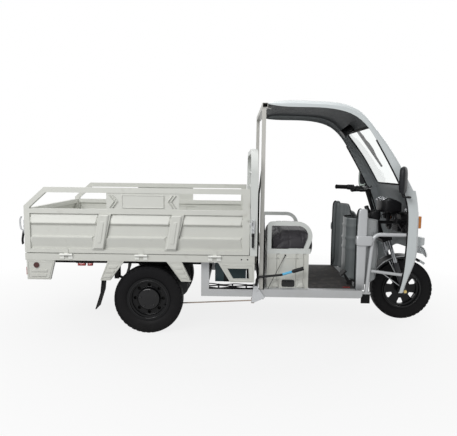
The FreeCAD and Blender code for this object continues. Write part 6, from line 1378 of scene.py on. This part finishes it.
GRIP_END = [(-0.004, 0.008), (-0.0035, 0.018), (0.001, 0.0212), (0.007, 0.0205)]
GRIP_FLANGE = [(0.1115, 0.0178), (0.1125, 0.0225), (0.1175, 0.0225), (0.1195, 0.0165)]
GRIP_RIBS, GRIP_RIB_FROM, GRIP_RIB_PITCH = 17, 0.009, 0.006
GRIP_RIB = ((0, 0.0178), (0.0012, 0.0192), (0.0040, 0.0192))
GRIP_PLACE, GRIP_ALONG = (-0.196, 0.292), (0.144, -0.124)
GRIP_BODIES = ("steering", "throttle")


def grip_sleeve(form, side):
    ribs = [(GRIP_RIB_FROM + number * GRIP_RIB_PITCH + step, radius)
            for number in range(GRIP_RIBS) for step, radius in GRIP_RIB]
    place = BAR + Vector((GRIP_PLACE[0], GRIP_PLACE[1] * side, 0))
    add_round(form, place, (GRIP_ALONG[0], GRIP_ALONG[1] * side, 0), GRIP_END + ribs + GRIP_FLANGE, 28)


for (side, label), body in zip(SIDES, GRIP_BODIES):
    build_piece("grip_sleeve_" + label, lambda form: grip_sleeve(form, side), body, "soft_rubber")


# Leg fairing: a rounded horn over each front post with its band, and a flank that sweeps in towards the neck

HORN_LEVELS = ((0.3715, 0.914, 0.984), (0.50, 0.912, 0.985), (0.65, 0.911, 0.986), (0.735, 0.911, 0.987),
               (0.90, 0.912, 0.987), (0.965, 0.914, 0.987), (0.996, 0.918, 0.986), (1.007, 0.924, 0.981),
               (1.013, 0.936, 0.970))
BAND_LEVELS = ((0.727, 0.912, 1.022), (0.733, 0.904, 1.032), (0.764, 0.901, 1.036), (0.797, 0.904, 1.032),
               (0.803, 0.912, 1.022))
HORN_INNER, HORN_OUTER, BAND_INNER, BAND_OUTER = 0.4425, 0.4745, 0.4435, 0.4855
HORN_EDGE = ((0.9130, 0.376), (0.9110, 0.50), (0.9100, 0.70), (0.9110, 0.92), (0.9135, 0.978),
             (0.9240, 1.007), (0.9400, 1.014))
HORN_EDGE_RADIUS = 0.0048
HORN_IN, HORN_BACK = -0.2, -0.75
FLANK_PLAN = ((0.974, 0.440), (1.010, 0.436), (1.046, 0.428), (1.078, 0.412), (1.094, 0.382), (1.094, 0.325),
              (1.082, 0.240), (1.068, 0.140), (1.060, 0.060))
FLANK_ROWS, FLANK_WALL = 18, 0.004
FLANK_TOP, FLANK_TOP_FALL, FLANK_LOW, FLANK_LOW_RISE = 0.945, 0.05, 0.40, 0.12
FLANK_BULGE, FLANK_GROOVE, GROOVE_SHARE, GROOVE_WIDTH_SHARE = 0.010, 0.012, 0.62, 0.05
STACK_POWER, STACK_ROUNDS = 0.45, 32


def add_stack(form, levels, inner, outer, side):
    """Level rings of rounded rectangles between two widths, stacked and capped."""
    middle_y, half_y = (inner + outer) / 2, (outer - inner) / 2
    outline = squared_circle(STACK_ROUNDS, STACK_POWER)
    add_rings(form, [[((start + end) / 2 + along * (end - start) / 2, (middle_y + across * half_y) * side, z)
                      for along, across in outline] for z, start, end in levels])


def flank_point(spot, share, up):
    """A point of the flank at a share of its height, over a spot at a share of its plan's length."""
    top = FLANK_TOP - FLANK_TOP_FALL * share
    low = FLANK_LOW + FLANK_LOW_RISE * share
    groove = FLANK_GROOVE * math.exp(-((up - GROOVE_SHARE) / GROOVE_WIDTH_SHARE) ** 2)
    return Vector((spot.x + FLANK_BULGE * math.sin(math.pi * up) - groove, spot.y, low + (top - low) * up))


def leg_horn(form, side):
    add_stack(form, HORN_LEVELS, HORN_INNER, HORN_OUTER, side)
    add_stack(form, BAND_LEVELS, BAND_INNER, BAND_OUTER, side)


def horn_edge(form, side):
    add_tube(form, smooth_line([(x, HORN_INNER * side, z) for x, z in HORN_EDGE]), HORN_EDGE_RADIUS)


def leg_flank(side):
    """The flank's sheet of points in level rows along its plan."""
    plan = smooth_line([(x, y * side, 0) for x, y in FLANK_PLAN], 5)
    points = [flank_point(spot, number / (len(plan) - 1), row / FLANK_ROWS)
              for row in range(FLANK_ROWS + 1) for number, spot in enumerate(plan)]
    return sheet_mesh("leg_flank", points, len(plan))


horns = build_pair("leg_horn", leg_horn, "chassis", "silver_paint")
build_pair("horn_edge", horn_edge, "chassis", "soft_rubber")
for horn, (side, label) in zip(horns, SIDES):
    horn.data.materials.append(look("dark_plastic"))
    for face in horn.data.polygons:
        face.material_index = int(face.normal.y * side < HORN_IN or face.normal.x < HORN_BACK)
    flank = make_piece("leg_flank_" + label, leg_flank(side), "chassis", "fairing_grey")
    flank.modifiers.new("thickness", "SOLIDIFY").thickness = FLANK_WALL


# Wiper: the blade's tapered frame and a second, thin arm

SCREEN_OUT = Vector((0.800731, 0, 0.599024))
SCREEN_DOWN = Vector((0.599024, 0, -0.800731))
BLADE_LENGTH, BLADE_Y, BLADE_DEPTH, BLADE_CREST_SHARE = 0.420, 0.110, 0.010, 0.6
BLADE_STATIONS = ((0.0, 0.0085, 0.001), (0.105, 0.011, 0.006), (0.180, 0.017, 0.018), (0.240, 0.017, 0.018),
                  (0.315, 0.011, 0.006), (0.420, 0.0085, 0.001))
WIPER_ARM, WIPER_ARM_ACROSS, WIPER_ARM_LINE = 0.0048, 0.013, ((-0.012, 0.002), (0.100, 0.014), (0.200, 0.012))


def wiper_frame(form):
    corners = [corner.co for corner in nodes["wiper"].data.vertices]
    foot = max(corner.dot(SCREEN_DOWN) for corner in corners)
    level = max(corner.dot(SCREEN_OUT) for corner in corners)

    def on_screen(along, across, out):
        return (SCREEN_DOWN * (foot - BLADE_LENGTH + along) + SCREEN_OUT * (level + out)
                + Vector((0, BLADE_Y + across, 0)))

    for pair in zip(BLADE_STATIONS, BLADE_STATIONS[1:]):
        feet = [on_screen(along, half * across, -BLADE_DEPTH) for along, half, crest in pair
                for across in (-1, 1)]
        crests = [on_screen(along, half * across, crest) for along, half, crest in pair
                  for across in (-BLADE_CREST_SHARE, BLADE_CREST_SHARE)]
        add_hull(form, feet + crests)
    add_tube(form, [on_screen(along, WIPER_ARM_ACROSS, out) for along, out in WIPER_ARM_LINE], WIPER_ARM, 10)


build_piece("wiper_frame", wiper_frame, "wiper_body", "black_plastic", smooth=False)


# Shading: curved sheets and castings shade smooth across their flatter edges

WELD = 0.00002
FLAT_EDGE = math.radians(24)


def smooth_by_angle(limit):
    """A node group that welds a mesh's seams and shades it smooth across edges flatter than a limit."""
    group = bpy.data.node_groups.new("smooth_by_angle", "GeometryNodeTree")
    for way in ("INPUT", "OUTPUT"):
        group.interface.new_socket("Geometry", in_out=way, socket_type="NodeSocketGeometry")
    source = add_node(group, "NodeGroupInput").outputs[0]
    weld = add_node(group, "GeometryNodeMergeByDistance", {"Geometry": source, "Distance": WELD})
    angle = add_node(group, "GeometryNodeInputMeshEdgeAngle").outputs["Unsigned Angle"]
    flat = add_node(group, "FunctionNodeCompare", {"A": angle, "B": limit}, operation="LESS_EQUAL")
    faces = add_node(group, "GeometryNodeSetShadeSmooth", {"Geometry": weld.outputs["Geometry"]})
    edges = add_node(group, "GeometryNodeSetShadeSmooth", {
        "Geometry": faces.outputs["Geometry"], "Shade Smooth": flat.outputs["Result"]}, domain="EDGE")
    add_node(group, "NodeGroupOutput", {0: edges.outputs["Geometry"]})
    return group


shading = smooth_by_angle(FLAT_EDGE)
for node in nodes.values():
    node.modifiers.new("smooth", "NODES").node_group = shading


# Stage: pale floor, soft light and white background

WHITE = (1, 1, 1, 1)
FLOOR_GREY = (0.45, 0.45, 0.45, 1)
FLOOR_REACH = 40
FADE_FROM, FADE_TO, FADE_LEAST = 1.2, 3.4, 0.84
WORLD_LIGHT = 0.36


def seen_by(tree):
    """1 for rays that come from the camera, a gloss or a glass."""
    path = add_node(tree, "ShaderNodeLightPath")
    total = path.outputs["Is Camera Ray"]
    for name in ("Is Glossy Ray", "Is Transmission Ray"):
        most = add_node(tree, "ShaderNodeMath", {0: total, 1: path.outputs[name]}, operation="MAXIMUM")
        total = most.outputs["Value"]
    return total


def end_in_mix(tree, output, factor, first, second):
    """Two shaders mixed by a factor into the tree's output."""
    mix = add_node(tree, "ShaderNodeMixShader", {"Fac": factor, 1: first, 2: second})
    add_node(tree, output, {"Surface": mix.outputs["Shader"]})


def white_stage():
    mesh = bpy.data.meshes.new("floor")
    corners = [(x * FLOOR_REACH, y * FLOOR_REACH, 0) for x, y in ((-1, -1), (1, -1), (1, 1), (-1, 1))]
    mesh.from_pydata(corners, [], [(0, 1, 2, 3)])
    floor = bpy.data.objects.new("floor", mesh)
    scene.collection.objects.link(floor)
    material = bpy.data.materials.new("pale_floor")
    material.use_nodes = True
    tree = material.node_tree
    tree.nodes.clear()
    place = add_node(tree, "ShaderNodeTexCoord").outputs["Object"]
    distance = add_node(tree, "ShaderNodeVectorMath", {0: place}, operation="LENGTH").outputs["Value"]
    fade = add_node(tree, "ShaderNodeMapRange", {
        "Value": distance, "From Min": FADE_FROM, "From Max": FADE_TO, "To Min": FADE_LEAST, "To Max": 1.0})
    seen = add_node(tree, "ShaderNodeMath", {
        0: seen_by(tree), 1: fade.outputs["Result"]}, operation="MULTIPLY")
    matte = add_node(tree, "ShaderNodeBsdfDiffuse", {"Color": FLOOR_GREY})
    glow = add_node(tree, "ShaderNodeEmission")
    end_in_mix(tree, "ShaderNodeOutputMaterial", seen.outputs["Value"], matte.outputs["BSDF"],
               glow.outputs["Emission"])
    mesh.materials.append(material)


def white_world():
    world = bpy.data.worlds.new("studio")
    world.use_nodes = True
    tree = world.node_tree
    tree.nodes.clear()
    lit = add_node(tree, "ShaderNodeBackground", {"Color": WHITE, "Strength": WORLD_LIGHT})
    shown = add_node(tree, "ShaderNodeBackground", {"Color": WHITE, "Strength": 1.0})
    end_in_mix(tree, "ShaderNodeOutputWorld", seen_by(tree), lit.outputs["Background"],
               shown.outputs["Background"])
    scene.world = world


def soft_light(name, place, target, size, power):
    data = bpy.data.lights.new(name, "AREA")
    data.shape = "RECTANGLE"
    data.size, data.size_y = size
    data.energy = power
    lamp = bpy.data.objects.new(name, data)
    scene.collection.objects.link(lamp)
    lamp.location = place
    lamp.rotation_euler = (Vector(target) - Vector(place)).to_track_quat("-Z", "Y").to_euler()


white_stage()
white_world()
soft_light("key_light", (-2.6, -4.6, 4.2), (0, 0, 0.8), (4, 3), 265)
soft_light("top_light", (0.3, 0.4, 5.2), (0, 0, 0.5), (5, 4), 95)
soft_light("rim_light", (3.6, 2.6, 3.2), (0.4, 0, 0.9), (3, 3), 55)
